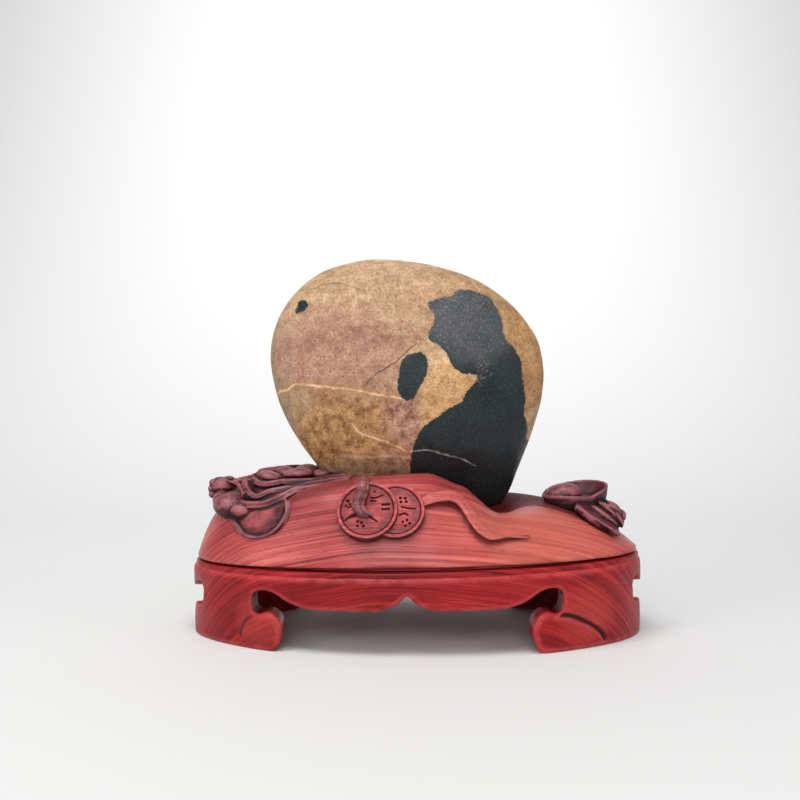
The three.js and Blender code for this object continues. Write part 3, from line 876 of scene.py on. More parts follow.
inner_length, inner_depth = STAND_HALF_LENGTH - BASE_WALL, STAND_HALF_DEPTH - BASE_WALL
base = oval_rings(
    "base_body",
    side_rings(STAND_HALF_LENGTH, STAND_HALF_DEPTH, 0, BASE_BODY_HEIGHT, FOOT_ROUNDING, SHOULDER_ROUNDING)
    + [(inner_length, inner_depth, BASE_BODY_HEIGHT), (inner_length, inner_depth, 0)]
    + [(STAND_HALF_LENGTH - FOOT_ROUNDING, STAND_HALF_DEPTH - FOOT_ROUNDING, 0)],
    segments=BASE_SEGMENTS,
    closed_wall=True,
)
cut_away(base, opening_cutter(LONG_OPENING, "x", LONG_OPENING_CENTRE_X))
cut_away(base, opening_cutter(END_OPENING, "y"))
modify(base, "REMESH", mode="VOXEL", voxel_size=BASE_VOXEL * MM)
modify(base, "SMOOTH", factor=0.5, iterations=5)

# %% [markdown]
# Each toe is a little volute that swells forward of the leg, and on the right front foot a cut
# runs on from the corner of the opening down across the foot, which marks the curl off from the
# leg. With the fine mesh in place, the toes are pulled out with a soft round falloff and the
# cuts are pressed in along drawn lines. A short faint cut marks the left front foot too.

# %% Base: toes and cuts
TOE_PLACES = [(-68.5, -50, 9), (57.5, -52, 9), (-68.5, 50, 9), (57.5, 52, 9)]
TOE_REACH, TOE_SWELL = 17.6, 0.9
FOOT_CUTS = [
    [(63, 15.8), (67.5, 15), (73, 12.6), (78.5, 9.6), (82.5, 6.6), (85, 3.2)],
    [(-74, 15.8), (-77.5, 13.4), (-79.6, 9.6), (-80.4, 5.6)],
]
CUT_DEPTHS, CUT_HALF_WIDTH, CUT_SHADE_HALF_WIDTH = [1.5, 0.5], 0.9, 0.7

points, outward = points_of(base), normals_of(base)
for place in TOE_PLACES:
    near = 1 - np.linalg.norm(points - place, axis=1) / TOE_REACH
    points += outward * (TOE_SWELL * smoothstep(near, 0, 1))[:, None]
front_face = smoothstep(-points[:, 1], 20, 26) * smoothstep(-outward[:, 1], 0.2, 0.5)
cut_shade = np.zeros(len(points))
for line, depth in zip(FOOT_CUTS, CUT_DEPTHS):
    away = from_line(points[:, [0, 2]], line)
    points -= outward * (depth * front_face * ridge(away, CUT_HALF_WIDTH))[:, None]
    # The cuts are painted darker along their line too: painted shade
    shade = depth / max(CUT_DEPTHS) * front_face * ridge(away, CUT_SHADE_HALF_WIDTH)
    cut_shade = np.maximum(cut_shade, shade)
points[:, 2] *= rake(points[:, 0])
move_points(base, points)
keep(base, "cut_shade", cut_shade)
roughen(base, 18, 0.5)
# The roughness takes nothing below the floor
points = points_of(base)
points[:, 2] = np.maximum(points[:, 2], 0)
move_points(base, points)
keep_hollows(base)
finish_piece(base, BASE_WOOD, "base_wood", "stand_base")

# %% [markdown]
# A thin lip runs round the top of the base, set in a little from the shoulder, and carries the
# domed top. It is turned as a lid whose lower part drops into the wall and makes the ceiling. Its
# edges are crisp, so it stays a plain set of rings and isn't remeshed.

# %% Base: lip and ceiling
lip_length, lip_depth = STAND_HALF_LENGTH - LIP_INSET, STAND_HALF_DEPTH - LIP_INSET
lip = oval_rings(
    "base_lip",
    [(inner_length + 1, inner_depth + 1, height) for height in (CEILING, LIP_BOTTOM)]
    + side_rings(lip_length, lip_depth, LIP_BOTTOM, LIP_TOP, 0.2, 0.75, steps=4)
    + [(lip_length - 12, lip_depth - 12, LIP_TOP)],
    segments=BASE_SEGMENTS,
)
points = points_of(lip)
points[:, 2] *= rake(points[:, 0])
move_points(lip, points)
keep(lip, "hollow", np.zeros(len(points)))
finish_piece(lip, BASE_WOOD, "base_wood", "stand_base", crease=35)

# %% [markdown]
# The top is a low dome, steep at its left end and sloping gently at its right, with a crest in
# front of the stone that dips where the stone's tip comes down. No primitive has that shape, and
# pushing one about by hand would miss the seat. So rings are extruded at marker heights, and
# then each point is set to the height that the CAD model's own rule gives it. The carver's gouge
# leaves the slope very slightly wavy. Last, the stone itself, grown by a hair, cuts its seat.

# %% Top: the dome
TOP_HALF_LENGTH, TOP_HALF_DEPTH, TOP_EDGE_HEIGHT = 108.3, 62.5, 1.6
SEAM_GAP_MIDDLE, SEAM_GAP_CLOSING, TOUCHING_GAP = 2.1, 1.3, 0.3
FRONT_CREST = [
    (-120, 68), (-80, 69), (-32, 75), (4, 77), (20, 72.3), (38, 62.5), (58, 64.5), (80, 64), (120, 62),
]
BACK_CREST, CREST_BLEND_Y = 67, (-12, 18)
TIP_DIP_MIDDLE, TIP_DIP_REACH, TIP_DIP_DEPTH = (36, -8), (12, 17), 8


def front_crest(x):
    height = np.full(np.shape(x), float(FRONT_CREST[0][1]))
    for (x0, z0), (x1, z1) in zip(FRONT_CREST, FRONT_CREST[1:]):
        height += (z1 - z0) * smoothstep(x, x0, x1)
    return height


def edge_bottom(x):
    return LIP_TOP * rake(x) + SEAM_GAP_MIDDLE - SEAM_GAP_CLOSING * (x / TOP_HALF_LENGTH) ** 2


def dome_height(x, y):
    along, across = x / TOP_HALF_LENGTH, y / TOP_HALF_DEPTH
    out = np.minimum(np.hypot(along, across), 1)
    right = along / np.maximum(out, 1e-6)
    steepness = 6 - 4 * right + 2 * right**2
    edge_top = edge_bottom(x) + TOP_EDGE_HEIGHT
    behind = smoothstep(y, *CREST_BLEND_Y)
    crest = front_crest(x) * (1 - behind) + BACK_CREST * behind
    away_x, away_y = (x - TIP_DIP_MIDDLE[0]) / TIP_DIP_REACH[0], (y - TIP_DIP_MIDDLE[1]) / TIP_DIP_REACH[1]
    dip = TIP_DIP_DEPTH * np.exp(-(away_x**2) - away_y**2)
    return edge_top + (crest - edge_top) * (1 - out**steepness) - dip


def slope_place(x, z):
    """The point of the front slope that has a given x and z, found by halving."""
    x, z = np.broadcast_arrays(np.asarray(x, float), np.asarray(z, float))
    outer, inner = np.full(x.shape, -TOP_HALF_DEPTH), np.full(x.shape, float(CREST_BLEND_Y[0]))
    for _ in range(24):
        middle = (outer + inner) / 2
        low = dome_height(x, middle) < z
        outer, inner = np.where(low, middle, outer), np.where(low, inner, middle)
    return np.stack([x, inner, z], axis=-1)


def slope_facing(places, step=1.5):
    x, y = places[..., 0], places[..., 1]
    rise_x = dome_height(x + step, y) - dome_height(x - step, y)
    rise_y = dome_height(x, y + step) - dome_height(x, y - step)
    facing = np.stack([-rise_x, -rise_y, np.full(np.shape(x), 2 * step)], axis=-1)
    return facing / np.linalg.norm(facing, axis=-1, keepdims=True)


RING_COUNT, RING_CROWDING, DOME_SEGMENTS = 64, 1.35, 320
CORE_SHARE = 0.93
# Each ring has a share of the dome's size and a level, which marks it: 0 is the foot of the core,
# 1 to 3 are the edge and the rest is the dome
shares = 1 - (np.arange(RING_COUNT + 1) / RING_COUNT) ** RING_CROWDING
levels = [(CORE_SHARE, 0), (CORE_SHARE, 1), (0.994, 1), (0.9985, 2), (1, 3)]
levels += [(max(share, 0.004), 4 + i) for i, share in enumerate(shares)]
dome = oval_rings(
    "domed_top",
    [(TOP_HALF_LENGTH * share, TOP_HALF_DEPTH * share, level) for share, level in levels],
    segments=DOME_SEGMENTS,
)
points = points_of(dome)
x, y, level = points.T
bottom = edge_bottom(x)
points[:, 2] = np.select(
    [level < 0.5, level < 1.5, level < 2.5, level < 3.5],
    [LIP_TOP * rake(x) + TOUCHING_GAP, bottom, bottom + 0.2, bottom + 0.7],
    dome_height(x, y),
)
move_points(dome, points)
mend_normals(dome, gap=0.001)
roughen(dome, 16, 0.4)
roughen(dome, 5, 0.12, seed=40)

# %% Top: the seat of the stone
SEAT_GAP = 0.35
# Painted shade darkens the slope behind the crest, and painted shadows lie along the foot of the long
# leaf, of the loose strap end and of the coins
UNDER_LONG_LEAF = [(-66, 62), (-59, 65.4), (-52, 68.6), (-45, 70.6), (-38, 72.2), (-31, 73.6)]
TAIL = [
    (-2, 62), (2.1, 63.4), (5.7, 64.2), (9.7, 64.6), (13.4, 64.3), (16.5, 62.8), (19.4, 59.2), (21.7, 55.4),
    (24, 52.2), (27, 49.7), (30.1, 48.3), (33.8, 48.3), (38.1, 48.9), (43.1, 49.1), (48.8, 49.2),
]
# Middle in x and z, radius, and how far the face stands off the slope
COINS = {"coin_right": (-10.4, 61.8, 12.9, 1.9), "coin_left": (-22.6, 61.3, 13.5, 3.5)}
seat = new_object("seat", stone.data.copy())
modify(seat, "DECIMATE", ratio=0.12)
edit(seat)
bpy.ops.transform.shrink_fatten(value=SEAT_GAP * MM)
leave_edit()
cut_away(dome, new_object("seat cutter", seat.data.copy()))
keep(dome, "hollow", np.zeros(len(dome.data.vertices)))
places = points_of(dome)
x, y, z = places.T
on_front = smoothstep(-y, 20, 30)
crest_y = -19 - 0.06 * (x - 40)
painted_shades = [smoothstep(y, crest_y - 1.5, crest_y + 3) * smoothstep(x, 26, 40) * smoothstep(z, 50, 58)]
for line, share, half_width in ((UNDER_LONG_LEAF, 0.8, 2.8), (TAIL, 0.75, 1)):
    painted_shades.append(share * on_front * ridge(from_line(places[:, [0, 2]], line, steps=6), half_width))
for coin_x, coin_z, size, _ in COINS.values():
    away = np.linalg.norm(places - slope_place(coin_x, coin_z), axis=1) - size
    painted_shades.append(0.75 * ridge(away, 1.1) * smoothstep(coin_z - z, -8, 6))
keep(dome, "painted_shade", np.maximum.reduce(painted_shades))
finish_piece(dome, TOP_WOOD, "top_wood", "stand_top", crease=40)

# %% [markdown]
# The carving on the top is cut in one with it: a spray of long leaves at the left, an open dish
# with leaves at the right, and two coins on a strap in front. Leaves are built as a carver reads
# them: a sheet stretched from a front edge to a back edge, hollowed between them, given
# thickness, with a round bead along the front edge. Buds and mounds are pushed-out balls. The
# pieces of a spray overlap, so they are joined and remeshed into one skin, which also rounds the
# inside corners as a knife does.


# %% Carving: leaves, mounds and beads
def bead(name, line, radii):
    """A round strip of wood along a line, its radius going through the given values."""
    path = smooth_line(line, steps=6)
    data = bpy.data.curves.new(name, "CURVE")
    data.dimensions = "3D"
    data.bevel_depth = MM
    data.bevel_resolution = 4
    data.use_fill_caps = True
    spline = data.splines.new("POLY")
    spline.points.add(len(path) - 1)
    thickness = spread(radii, np.linspace(0, 1, len(path)))
    for point, place, radius in zip(spline.points, path, thickness):
        point.co = (*(place * MM), 1)
        point.radius = radius
    pick(new_object(name, data))
    bpy.ops.object.convert(target="MESH")
    return bpy.context.object


LEAF_COLUMNS, LEAF_ROWS, LEAF_OVER_SLOPE = 40, 12, 1.2


def leaf(name, front, back, hollow=2.0, thickness=3.0, edge=(0.7, 1.4, 0.7)):
    """A hollowed sheet between two edges, kept over the slope, with a bead along the front edge."""
    bpy.ops.object.select_all(action="DESELECT")
    bpy.ops.mesh.primitive_grid_add(x_subdivisions=LEAF_COLUMNS - 1, y_subdivisions=LEAF_ROWS, size=2)
    sheet = bpy.context.object
    sheet.name = name
    along, across = (points_of(sheet)[:, :2] * MM + 1).T / 2
    at_front, at_back = (spread(smooth_line(line), along) for line in (front, back))
    places = at_front * (1 - across)[:, None] + at_back * across[:, None]
    places[:, 2] -= hollow * 4 * across * (1 - across) * np.sin(np.pi * np.clip(along, 0.04, 0.96)) ** 0.5
    inward = smoothstep(across, 0.01, 0.14)
    over_slope = dome_height(places[:, 0], places[:, 1]) + LEAF_OVER_SLOPE
    places[:, 2] += np.maximum(over_slope - places[:, 2], 0) * inward
    move_points(sheet, places)
    modify(sheet, "SOLIDIFY", thickness=thickness * MM, offset=-1)
    sunk = [(x, y + 0.3, z - 0.8 * max(edge)) for x, y, z in front]
    return join(name, [sheet, bead(name + " edge", sunk, edge)])


def mound(at, half, turn=0.0):
    """A ball drawn out to three half sizes, and turned about y in degrees."""
    bpy.ops.object.select_all(action="DESELECT")
    bpy.ops.mesh.primitive_ico_sphere_add(subdivisions=3, radius=1)
    ball = bpy.context.object
    turned = Matrix.Rotation(math.radians(turn), 4, "Y") @ Matrix.Diagonal((*half, 1))
    ball.data.transform(Matrix.Translation(Vector(at) * MM) @ turned @ Matrix.Scale(MM, 4))
    return ball


seat_points = points_of(seat)
seat_faces = [tuple(face.vertices) for face in seat.data.polygons]


def clear_of_stone(thing, gap=0.25):
    """Pushes any point that would be inside the stone out through its skin."""
    tree = BVHTree.FromPolygons([tuple(point) for point in seat_points], seat_faces)
    points = points_of(thing)
    pushed = 0
    for i, point in enumerate(points):
        place, facing, _, away = tree.find_nearest(Vector(point))
        if away < 30 and (Vector(point) - place).dot(facing) < 0:
            points[i] = place + facing * gap
            pushed += 1
    move_points(thing, points)
    print(f"{thing.name}: {pushed} points pushed clear of the stone")


def carve(name, pieces, voxel):
    """One skin over all the pieces of a carving, smoothed as a much-handled one is."""
    carved = join(name, pieces)
    modify(carved, "REMESH", mode="VOXEL", voxel_size=voxel * MM)
    modify(carved, "SMOOTH", factor=0.5, iterations=1)
    roughen(carved, 7, 0.5)
    clear_of_stone(carved)
    # The undersides of the carving get painted shade
    keep_hollows(carved, rounds=8, underside_shade=0.3, wide=48)
    return carved


# %% Carving: the spray of leaves at the left
LONG_LIP = [
    (-90, -20, 68.4), (-87.5, -26, 66.9), (-82, -31.5, 64.9), (-77.5, -34.5, 64.6), (-72, -37, 65),
    (-68.3, -38, 66.1), (-63.8, -38, 68.1), (-59.8, -37, 70), (-56.5, -36, 71.4), (-50, -35, 72.2),
    (-43, -34, 73.1), (-38.5, -33, 74.3), (-32, -31, 75.2),
]
LONG_BACK = [
    (-86, -12, 71), (-76, -14, 69.6), (-64, -17, 70.6), (-50, -18, 72.4), (-40, -19, 74.4), (-31, -22, 75.8),
]
INNER_LIP = [
    (-82.5, -19, 75.2), (-81.2, -24, 72.4), (-79.3, -27.5, 69.8), (-76.5, -30, 67.9), (-74, -31, 68.1),
    (-70, -31, 69.9), (-64, -31, 71.3), (-57, -31, 72),
]
INNER_BACK = [(-79, -14, 74.6), (-74, -14, 71.4), (-68, -16, 70.6), (-62, -18, 71.6), (-56, -22, 72.4)]
UPPER_LIP = [
    (-80, -15, 75.2), (-75, -21, 73.2), (-70, -24, 73.4), (-64, -25, 74.4), (-56, -25.5, 74.6),
    (-48, -26, 75), (-41, -26, 76.2), (-34, -27, 77),
]
UPPER_BACK = [(-76, -6, 75.4), (-66, -4, 75), (-56, -6, 76), (-46, -10, 77), (-36, -16, 77.4)]
PETAL_LIP = [
    (-88, -28, 59.6), (-84.7, -33, 55.3), (-80.3, -38.5, 50.9), (-76.7, -41.5, 49.8), (-73.1, -43.5, 49.7),
    (-68.4, -45.5, 51), (-64.3, -47, 53.8), (-61.3, -47, 57.6), (-59.8, -45, 61.6), (-60.4, -41, 65.6),
]
PETAL_BACK = [
    (-88, -22, 62), (-84, -24, 61.6), (-79, -27, 61.4), (-73, -29, 61.6), (-67, -29, 63.4), (-62, -30, 66),
]
# Leaves that fan out to the back, behind the mounds: front edge and back edge of each
BACK_LEAF = (
    [(-98, 2, 64), (-92, 14, 63.4), (-82, 24, 64.6), (-70, 28, 66.8), (-60, 26, 69)],
    [(-88, -2, 71), (-80, 4, 73), (-72, 8, 74.6), (-64, 10, 75.6), (-58, 12, 75)],
)
BACK_INNER_LEAF = (
    [(-84, 8, 72.2), (-76, 17, 72), (-66, 21, 73.4), (-57, 20, 74.6), (-50, 16, 75.4)],
    [(-78, 0, 75.6), (-70, 4, 77), (-62, 6, 77.6), (-54, 8, 77.4), (-48, 6, 77)],
)
BACK_RIGHT_LEAF = (
    [(-66, 25, 67.4), (-58, 30, 66.6), (-50, 31, 67.6), (-43, 27, 70), (-40, 20, 72.4)],
    [(-60, 14, 74), (-55, 16, 75), (-50, 16, 75.6), (-46, 13, 76.4), (-43, 9, 76.6)],
)
LOBE_VEIN = [(-91, -14, 72.4), (-86.5, -19, 71.6), (-83.4, -24, 69.4), (-82, -27.5, 67)]
# Each mound: its middle, its half sizes and its turn
BODY_MOUNDS = [
    ((-60, -8, 66), (29, 20, 8), -3), ((-82, -6, 62.6), (13, 16, 8), 8),
    ((-72, -31, 54), (10.5, 9.5, 5), -30), ((-58, 12, 65), (24, 17, 9), -3),
]
MOUNDS_BETWEEN_LEAVES = [
    ((-58.3, -12, 76), (7.4, 7, 2.9), -3), ((-72, -9, 74.2), (6.2, 6.4, 3.2), 12),
    ((-66, 0, 76), (4.6, 6, 3.1), 0), ((-56, 6, 76.8), (6.4, 7, 3.3), -4), ((-46, -8, 75.8), (6, 7, 2.8), -6),
]
PUFFY_LOBE = [
    ((-88, -24, 61.8), (9.0, 10.5, 6.4), 6), ((-94, -17, 64), (4.6, 7, 4.4), 0),
    ((-83, -27, 60.2), (8, 8.6, 4.6), 12),
]
BUD = [
    ((-94.8, -11, 69.6), (5.6, 6.8, 4.6), 0), ((-99.2, -11, 71.8), (2.3, 3.4, 1.9), 0),
    ((-99.8, -12, 68.9), (2.2, 3.2, 1.8), 0), ((-99, -13, 66.2), (2.3, 3.2, 1.8), 0),
    ((-96.6, -9, 73.2), (2.8, 3.4, 1.5), 0), ((-92.6, -8, 73.4), (2.8, 3.4, 1.5), 0),
    ((-88.8, -8, 72.2), (2.8, 3.6, 1.6), 0),
]
SPRAY_VOXEL, DISH_VOXEL, STRAP_VOXEL = 0.46, 0.45, 0.3
spray = [
    leaf("long leaf", LONG_LIP, LONG_BACK, hollow=3.2, edge=(0.6, 0.85, 0.95, 0.9, 0.8)),
    leaf("inner leaf", INNER_LIP, INNER_BACK, hollow=3, thickness=2.4, edge=(0.6, 0.8, 0.8, 0.5)),
    leaf("upper leaf", UPPER_LIP, UPPER_BACK, hollow=2.8, thickness=2.6, edge=(0.6, 0.85, 0.8, 0.7)),
    leaf("lower petal", PETAL_LIP, PETAL_BACK, hollow=1.8, thickness=2.4, edge=(0.6, 0.75, 0.8, 0.6)),
    leaf("back leaf", *BACK_LEAF, hollow=2.4, thickness=3.4, edge=(0.8, 1.2, 1.2, 0.8)),
    leaf("back inner leaf", *BACK_INNER_LEAF, thickness=2.8, edge=(0.8, 1.1, 1.1, 0.7)),
    leaf("back right leaf", *BACK_RIGHT_LEAF, thickness=3.2, edge=(0.8, 1.2, 1.2, 0.8)),
    bead("vein", LOBE_VEIN, (0.8, 1.1, 1.0, 0.7)),
]
spray += [mound(*ball) for ball in BODY_MOUNDS + MOUNDS_BETWEEN_LEAVES + PUFFY_LOBE + BUD]
left_spray = carve("left_spray", spray, SPRAY_VOXEL)
finish_piece(left_spray, CARVED_WOOD, "top_wood", "stand_top")

# %% [markdown]
# The carving at the right is an open dish, low and level in front and standing up like a shell
# at the back and right, with a smooth dome inside it at the left. A thick leaf lies edge-on below
# it, sloping down to the right, and ruffled leaf ends show behind it. The dish is drawn ring by
# ring like the base, and its rim is then lifted where the shell stands up.

# %% Carving: the dish and leaves at the right
DISH_MIDDLE, DISH_HALF_LENGTH, DISH_HALF_DEPTH = (78.3, -4.5), 16, 10.4
# The shell stands highest at this angle from the right, towards the back, in degrees
SHELL_PEAK, SHELL_HEIGHT, SHELL_NARROWING, SHELL_FULLNESS = 52, 7, 0.76, 0.8
DISH_RINGS = [
    (11.5, 7.4, 57), (13.6, 8.8, 59.4), (15, 9.7, 61.4), (15.8, 10.2, 63.4), (16, 10.4, 64.7),
    (15.7, 10.2, 65.3), (15.2, 9.7, 65.3), (14.4, 9, 64.6), (12.4, 7.6, 63.4), (9, 5.6, 62.6), (4, 2.6, 62.2),
]
EDGE_ON_LEAF = (
    [
        (75.4, -19, 61), (78, -22.5, 59.6), (82.4, -25, 56.8), (88, -26, 53.2), (93, -25.4, 49.8),
        (95.6, -23.6, 48),
    ],
    [(80, -8, 62.6), (84, -8, 61), (88, -8, 59), (92, -8, 56.6), (96, -8, 54), (99, -8, 51.4)],
)
LEAF_BEHIND_DISH = (
    [(66, 16, 60.6), (76, 21, 58.4), (87, 20, 55.8), (96, 13, 52.8)],
    [(68, 4, 64), (78, 6, 64.4), (88, 5, 62.6), (96, 2, 59)],
)
UPPER_RUFFLE = [(90, -16, 61), (94, -15, 60), (97.6, -12.6, 57.4), (99.6, -9, 54.6)]
LOWER_RUFFLE = [(93.4, -17.4, 56.4), (97, -15.8, 54.6), (100, -12.4, 52.6)]
IN_AND_UNDER_DISH = [((72.4, -5.5, 65.6), (9, 7.4, 5.6), -6), ((78.5, -4, 58), (12.5, 8.5, 4), 0)]
RUFFLED_ENDS = [
    ((84.6, -17, 53.4), (10.6, 8.6, 3.1), 37), ((90.6, -13, 55.6), (8.6, 8, 2.3), 38),
    ((93.6, -11, 57.6), (7.4, 7, 2.2), 42), ((97, -12, 54.8), (5.6, 6, 1.9), 62),
    ((96.2, -6, 59.2), (4.4, 7, 2.6), 34), ((99.8, -6, 55), (2.6, 7, 3.4), 22),
]
BEHIND_DISH = [((90, -4, 57), (10.5, 9, 5), 24), ((84, 8, 57.5), (16, 10, 5.5), 10)]

dish = oval_rings("dish", DISH_RINGS, segments=96)
points = points_of(dish)
right, back = points[:, 0] / DISH_HALF_LENGTH, points[:, 1] / DISH_HALF_DEPTH
rim = smoothstep(np.hypot(right, back), 0.62, 0.98) * smoothstep(points[:, 2], 59.4, 64.7)
from_peak = np.abs((np.degrees(np.arctan2(back, right)) - SHELL_PEAK + 180) % 360 - 180)
shell = np.cos(np.radians(np.minimum(from_peak * SHELL_NARROWING, 90))) ** SHELL_FULLNESS * rim
points[:, 2] += SHELL_HEIGHT * shell
points[:, :2] += DISH_MIDDLE
move_points(dish, points)
right_pieces = [dish] + [mound(*ball) for ball in IN_AND_UNDER_DISH]
right_pieces += [leaf("leaf edge-on", *EDGE_ON_LEAF, hollow=-0.8, thickness=2.2, edge=(0.4, 0.6, 0.4))]
right_pieces += [mound(*ball) for ball in RUFFLED_ENDS]
right_pieces += [bead("upper ruffle", UPPER_RUFFLE, (0.9, 1.4, 1.5, 0.9))]
right_pieces += [bead("lower ruffle", LOWER_RUFFLE, (0.7, 1.2, 0.8))]
right_pieces += [leaf("back leaf", *LEAF_BEHIND_DISH, hollow=1.6, thickness=3.6, edge=(0.9, 1.3, 0.9))]
right_pieces += [mound(*ball) for ball in BEHIND_DISH]
right_carving = carve("right_carving", right_pieces, DISH_VOXEL)
finish_piece(right_carving, CARVED_WOOD, "top_wood", "stand_top")

# %% [markdown]
# The two coins lie on the front slope, the left one on the right one. Each is a disc of fine
# rings, because its face carries a raised rim, a thin groove inside it, little pits in groups
# and a few cut arcs. These could be cut with booleans, but it is quicker and softer to press them
# into the face by the distance of each point from a drawn point or line.


# %% Coins
COIN_RIM_WIDTH, COIN_THICKNESS, COIN_SEGMENTS = 1.45, 7, 220
FACE_DEPTH, GROOVE_DEPTH, PIT_DEPTH, CUT_DEPTH = 0.45, 0.45, 1.35, 1.1
# Pits: x, z and size of each. Lines: the points of each cut. All are from the coin's middle
LEFT_COIN = {
    "pits": [
        (-8.6, 4.6, 0.85), (-7.7, 3.1, 0.5), (-9.4, 2.4, 0.5), (-8.3, 1.5, 0.5), (-7.3, 1.8, 0.45),
        (-4, -5.2, 0.7), (-2.4, -5.8, 0.7), (-4.1, -7.4, 0.7), (-1.5, -7.5, 0.7), (3.1, 8.7, 0.55),
    ] + [(6.9 + 1.25 * i, 2.2 * j + 0.05 * i, 0.62) for i in range(3) for j in range(2)],
    "lines": [
        [(-7.6, -3.4), (-5.4, -2.6), (-2.9, -2.3), (0.9, -3.1), (4.4, -5.6)],
        [(-11, -3), (-10.3, -4.9), (-8.3, -3.4), (-6.4, -1.9), (-5.2, -1.8)],
        [(1.5, 5.9), (3.5, 5.6), (6.8, 6.8)], [(1.5, 4.3), (3.8, 4.1)],
    ],
}
RIGHT_COIN = {
    "pits": [
        (2.2, 5.9, 0.7), (4.3, 5.8, 0.7), (2.4, 4, 0.65), (4.7, 4.1, 0.65), (3.2, -5.5, 0.6),
        (5, -4.7, 0.65), (6.2, -6.2, 0.65), (4.3, -7.4, 0.6),
    ],
    "lines": [[(2.7, 1.6), (5.6, 0.9), (8.7, 0.7)], [(1.6, -2.2), (4, -1.6), (5.4, -2.4)]],
}


def coin(name, x, z, size, proud, marks):
    rings = [(size - 0.4, -COIN_THICKNESS), (size, -COIN_THICKNESS), (size, -1)]
    rings += [(size, -0.45), (size - 0.12, -0.15), (size - 0.45, 0)]
    rings += [(radius, 0) for radius in np.arange(size - 0.65, 0.2, -0.22)]
    disc = oval_rings(name, [(radius, radius, level) for radius, level in rings], COIN_SEGMENTS)
    points = points_of(disc)
    flat = points[:, :2]
    radius = np.hypot(*flat.T)
    face = (points[:, 2] > -0.05) & (radius < size - 0.5)
    inner = size - COIN_RIM_WIDTH
    depth = FACE_DEPTH * smoothstep(radius, inner, inner - 0.4)
    depth += GROOVE_DEPTH * ridge(radius - inner + 0.25, 0.26)
    # The face swells a little towards its middle
    depth -= 0.3 * smoothstep(radius, inner - 1, 0)
    for pit_x, pit_z, pit_size in marks["pits"]:
        away = np.hypot(flat[:, 0] - pit_x, flat[:, 1] - pit_z)
        depth = np.maximum(depth, PIT_DEPTH * smoothstep(away, pit_size * 1.3, pit_size * 0.4))
    for line in marks["lines"]:
        depth = np.maximum(depth, CUT_DEPTH * ridge(from_line(flat, line, steps=6), 0.42))
    points[:, 2] += np.where(face, -depth, 0) + proud
    place = slope_place(x, z)
    facing = Vector(slope_facing(place))
    turn = Vector((0, 0, 1)).rotation_difference(facing).to_matrix()
    right = turn.inverted() @ Vector((1, 0, 0))
    spin = Matrix.Rotation(math.atan2(right.y, right.x), 3, "Z")
    points = points @ np.array(turn @ spin).T + place
    move_points(disc, points)
    # Stain and painted shade lie in the cuts, painted shade darkens the side, and the rim is lighter from
    # rubbing and a painted highlight
    on_face = np.maximum(depth - 0.35, 0) * 0.7 + 0.06
    keep(disc, "hollow", np.where(face, on_face, np.where(radius > size - 0.2, 0.2, -0.16)))
    return disc


for name, marks in (("coin_right", RIGHT_COIN), ("coin_left", LEFT_COIN)):
    finish_piece(coin(name, *COINS[name], marks), COIN_WOOD, "top_wood", "stand_top", crease=35)

# %% [markdown]
# A strap comes over the crest, narrows, and folds into the hole of the left coin, and its loose
# end runs out from behind the right coin, down the slope to a point. The strap is a thick bead and
# a thin one at its right, remeshed into one skin. The loose end is low relief: its lower edge is
# undercut and its upper side runs out into the slope, so it is a grid whose rows are lifted off
# the slope by the points of that section.

# %% Strap
STRAP_START = [(-26, -24, 73.6), (-25.2, -33, 75)]
# Each point on the coin: x, z, and how far it is off the face
STRAP_ON_COIN = [
    (-25, 73, 1.3), (-25.4, 69.8, 2.0), (-26.6, 66.6, 1.8), (-27, 64.2, 1.6), (-25.4, 61.9, 1.1),
    (-22.2, 60.4, 0),
]
STRAP_RADII, STRAP_EDGE_RADII = (2.2, 2.4, 2.8, 2.9, 2.7, 2.3, 1.5), (1.1, 1.2, 1.2, 1.1, 0.8)
STRAP_EDGE_AWAY = (1.7, -0.9, 0.5)
coin_x, coin_z, _, coin_proud = COINS["coin_left"]
coin_facing = slope_facing(slope_place(coin_x, coin_z))
coin_face = slope_place(coin_x, coin_z) + coin_proud * coin_facing


def over_coin(x, z, lift):
    """The point in front of the left coin at x and z, lifted off its face."""
    sideways = (x - coin_face[0]) * coin_facing[0] + (z - coin_face[2]) * coin_facing[2]
    return (x, float(coin_face[1] + (lift - sideways) / coin_facing[1]), z)


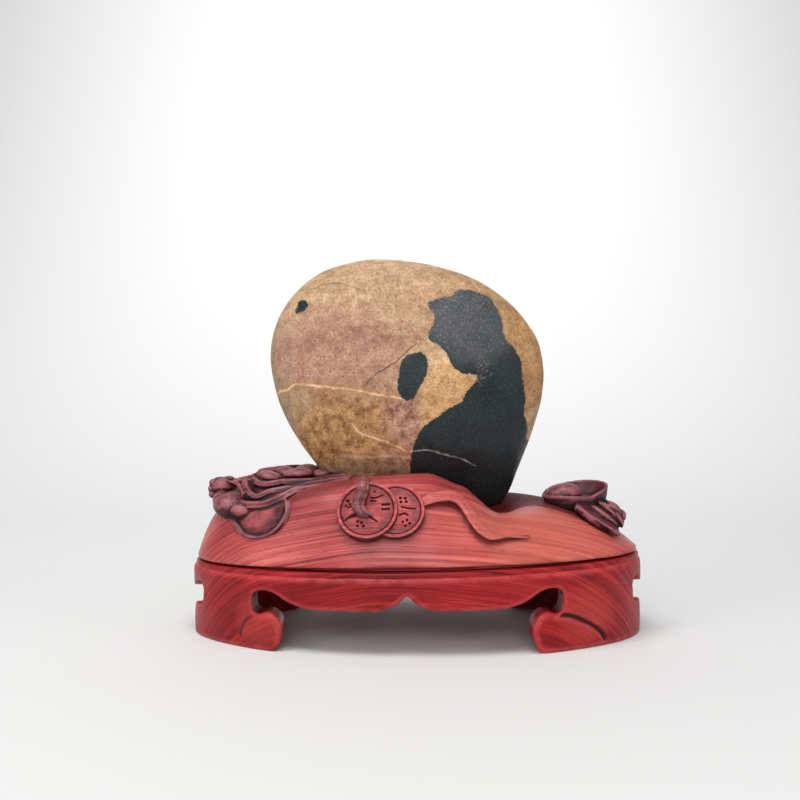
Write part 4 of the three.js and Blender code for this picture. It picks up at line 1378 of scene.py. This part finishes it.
strap_line = STRAP_START + [over_coin(*place) for place in STRAP_ON_COIN]
strap_edge = np.add(strap_line, STRAP_EDGE_AWAY)
print("strap:", np.round(strap_line, 1).tolist())
strap_beads = [bead("strap", strap_line, STRAP_RADII), bead("strap edge", strap_edge, STRAP_EDGE_RADII)]
strap = carve("strap", strap_beads, STRAP_VOXEL)
finish_piece(strap, STRAP_WOOD, "top_wood", "stand_top")

# %% Loose end of the strap
TAIL_WIDTH = (5.8, 6.6, 6.8, 6.6, 6.0, 5.4, 4.8, 3.4, 1.2)
TAIL_HEIGHT = (0.9, 2.6, 3.5, 3.7, 3.7, 3.7, 3.3, 2.4, 0.6)
# Section of the strap from its lower edge: share of the width, and share of the height
TAIL_SECTION = [
    (0.16, -0.25), (0.13, 0.1), (0.06, 0.35), (0, 0.6), (0, 0.78), (0.04, 0.93), (0.12, 1), (0.3, 1),
    (0.48, 0.94), (0.62, 0.78), (0.74, 0.5), (0.86, 0.2), (1, -0.25),
]
TAIL_ROWS, TAIL_SUNK, TAIL_THICKNESS = 30, 0.2, 1.4
tail_line = smooth_line(TAIL, steps=12)
count = len(tail_line)
bpy.ops.object.select_all(action="DESELECT")
bpy.ops.mesh.primitive_grid_add(x_subdivisions=count - 1, y_subdivisions=TAIL_ROWS, size=2)
tail = bpy.context.object
tail.name = "strap_tail"
along, across = (points_of(tail)[:, :2] * MM + 1).T / 2
at = np.rint(along * (count - 1)).astype(int)
sideways, upwards = spread(smooth_line(TAIL_SECTION, steps=4), across).T
heading = np.gradient(tail_line, axis=0)
heading /= np.linalg.norm(heading, axis=1, keepdims=True)
to_upper_edge = np.column_stack([-heading[:, 1], heading[:, 0]])
share = np.arange(count) / (count - 1)
width, height = spread(TAIL_WIDTH, share), spread(TAIL_HEIGHT, share)
flat = tail_line[at] + to_upper_edge[at] * (width[at] * sideways)[:, None]
places = slope_place(flat[:, 0], flat[:, 1])
lift = height[at] * upwards - TAIL_SUNK
move_points(tail, places + slope_facing(places) * lift[:, None])
mend_normals(tail, gap=0.0001)
modify(tail, "SOLIDIFY", thickness=TAIL_THICKNESS * MM, offset=-1)
mend_normals(tail, gap=0.0001)
# The lower side of the loose end gets painted shade
keep_hollows(tail, rounds=8, underside_shade=1.2, wide=24)
finish_piece(tail, TOP_WOOD, "top_wood", "stand_top")

bpy.data.objects.remove(seat)
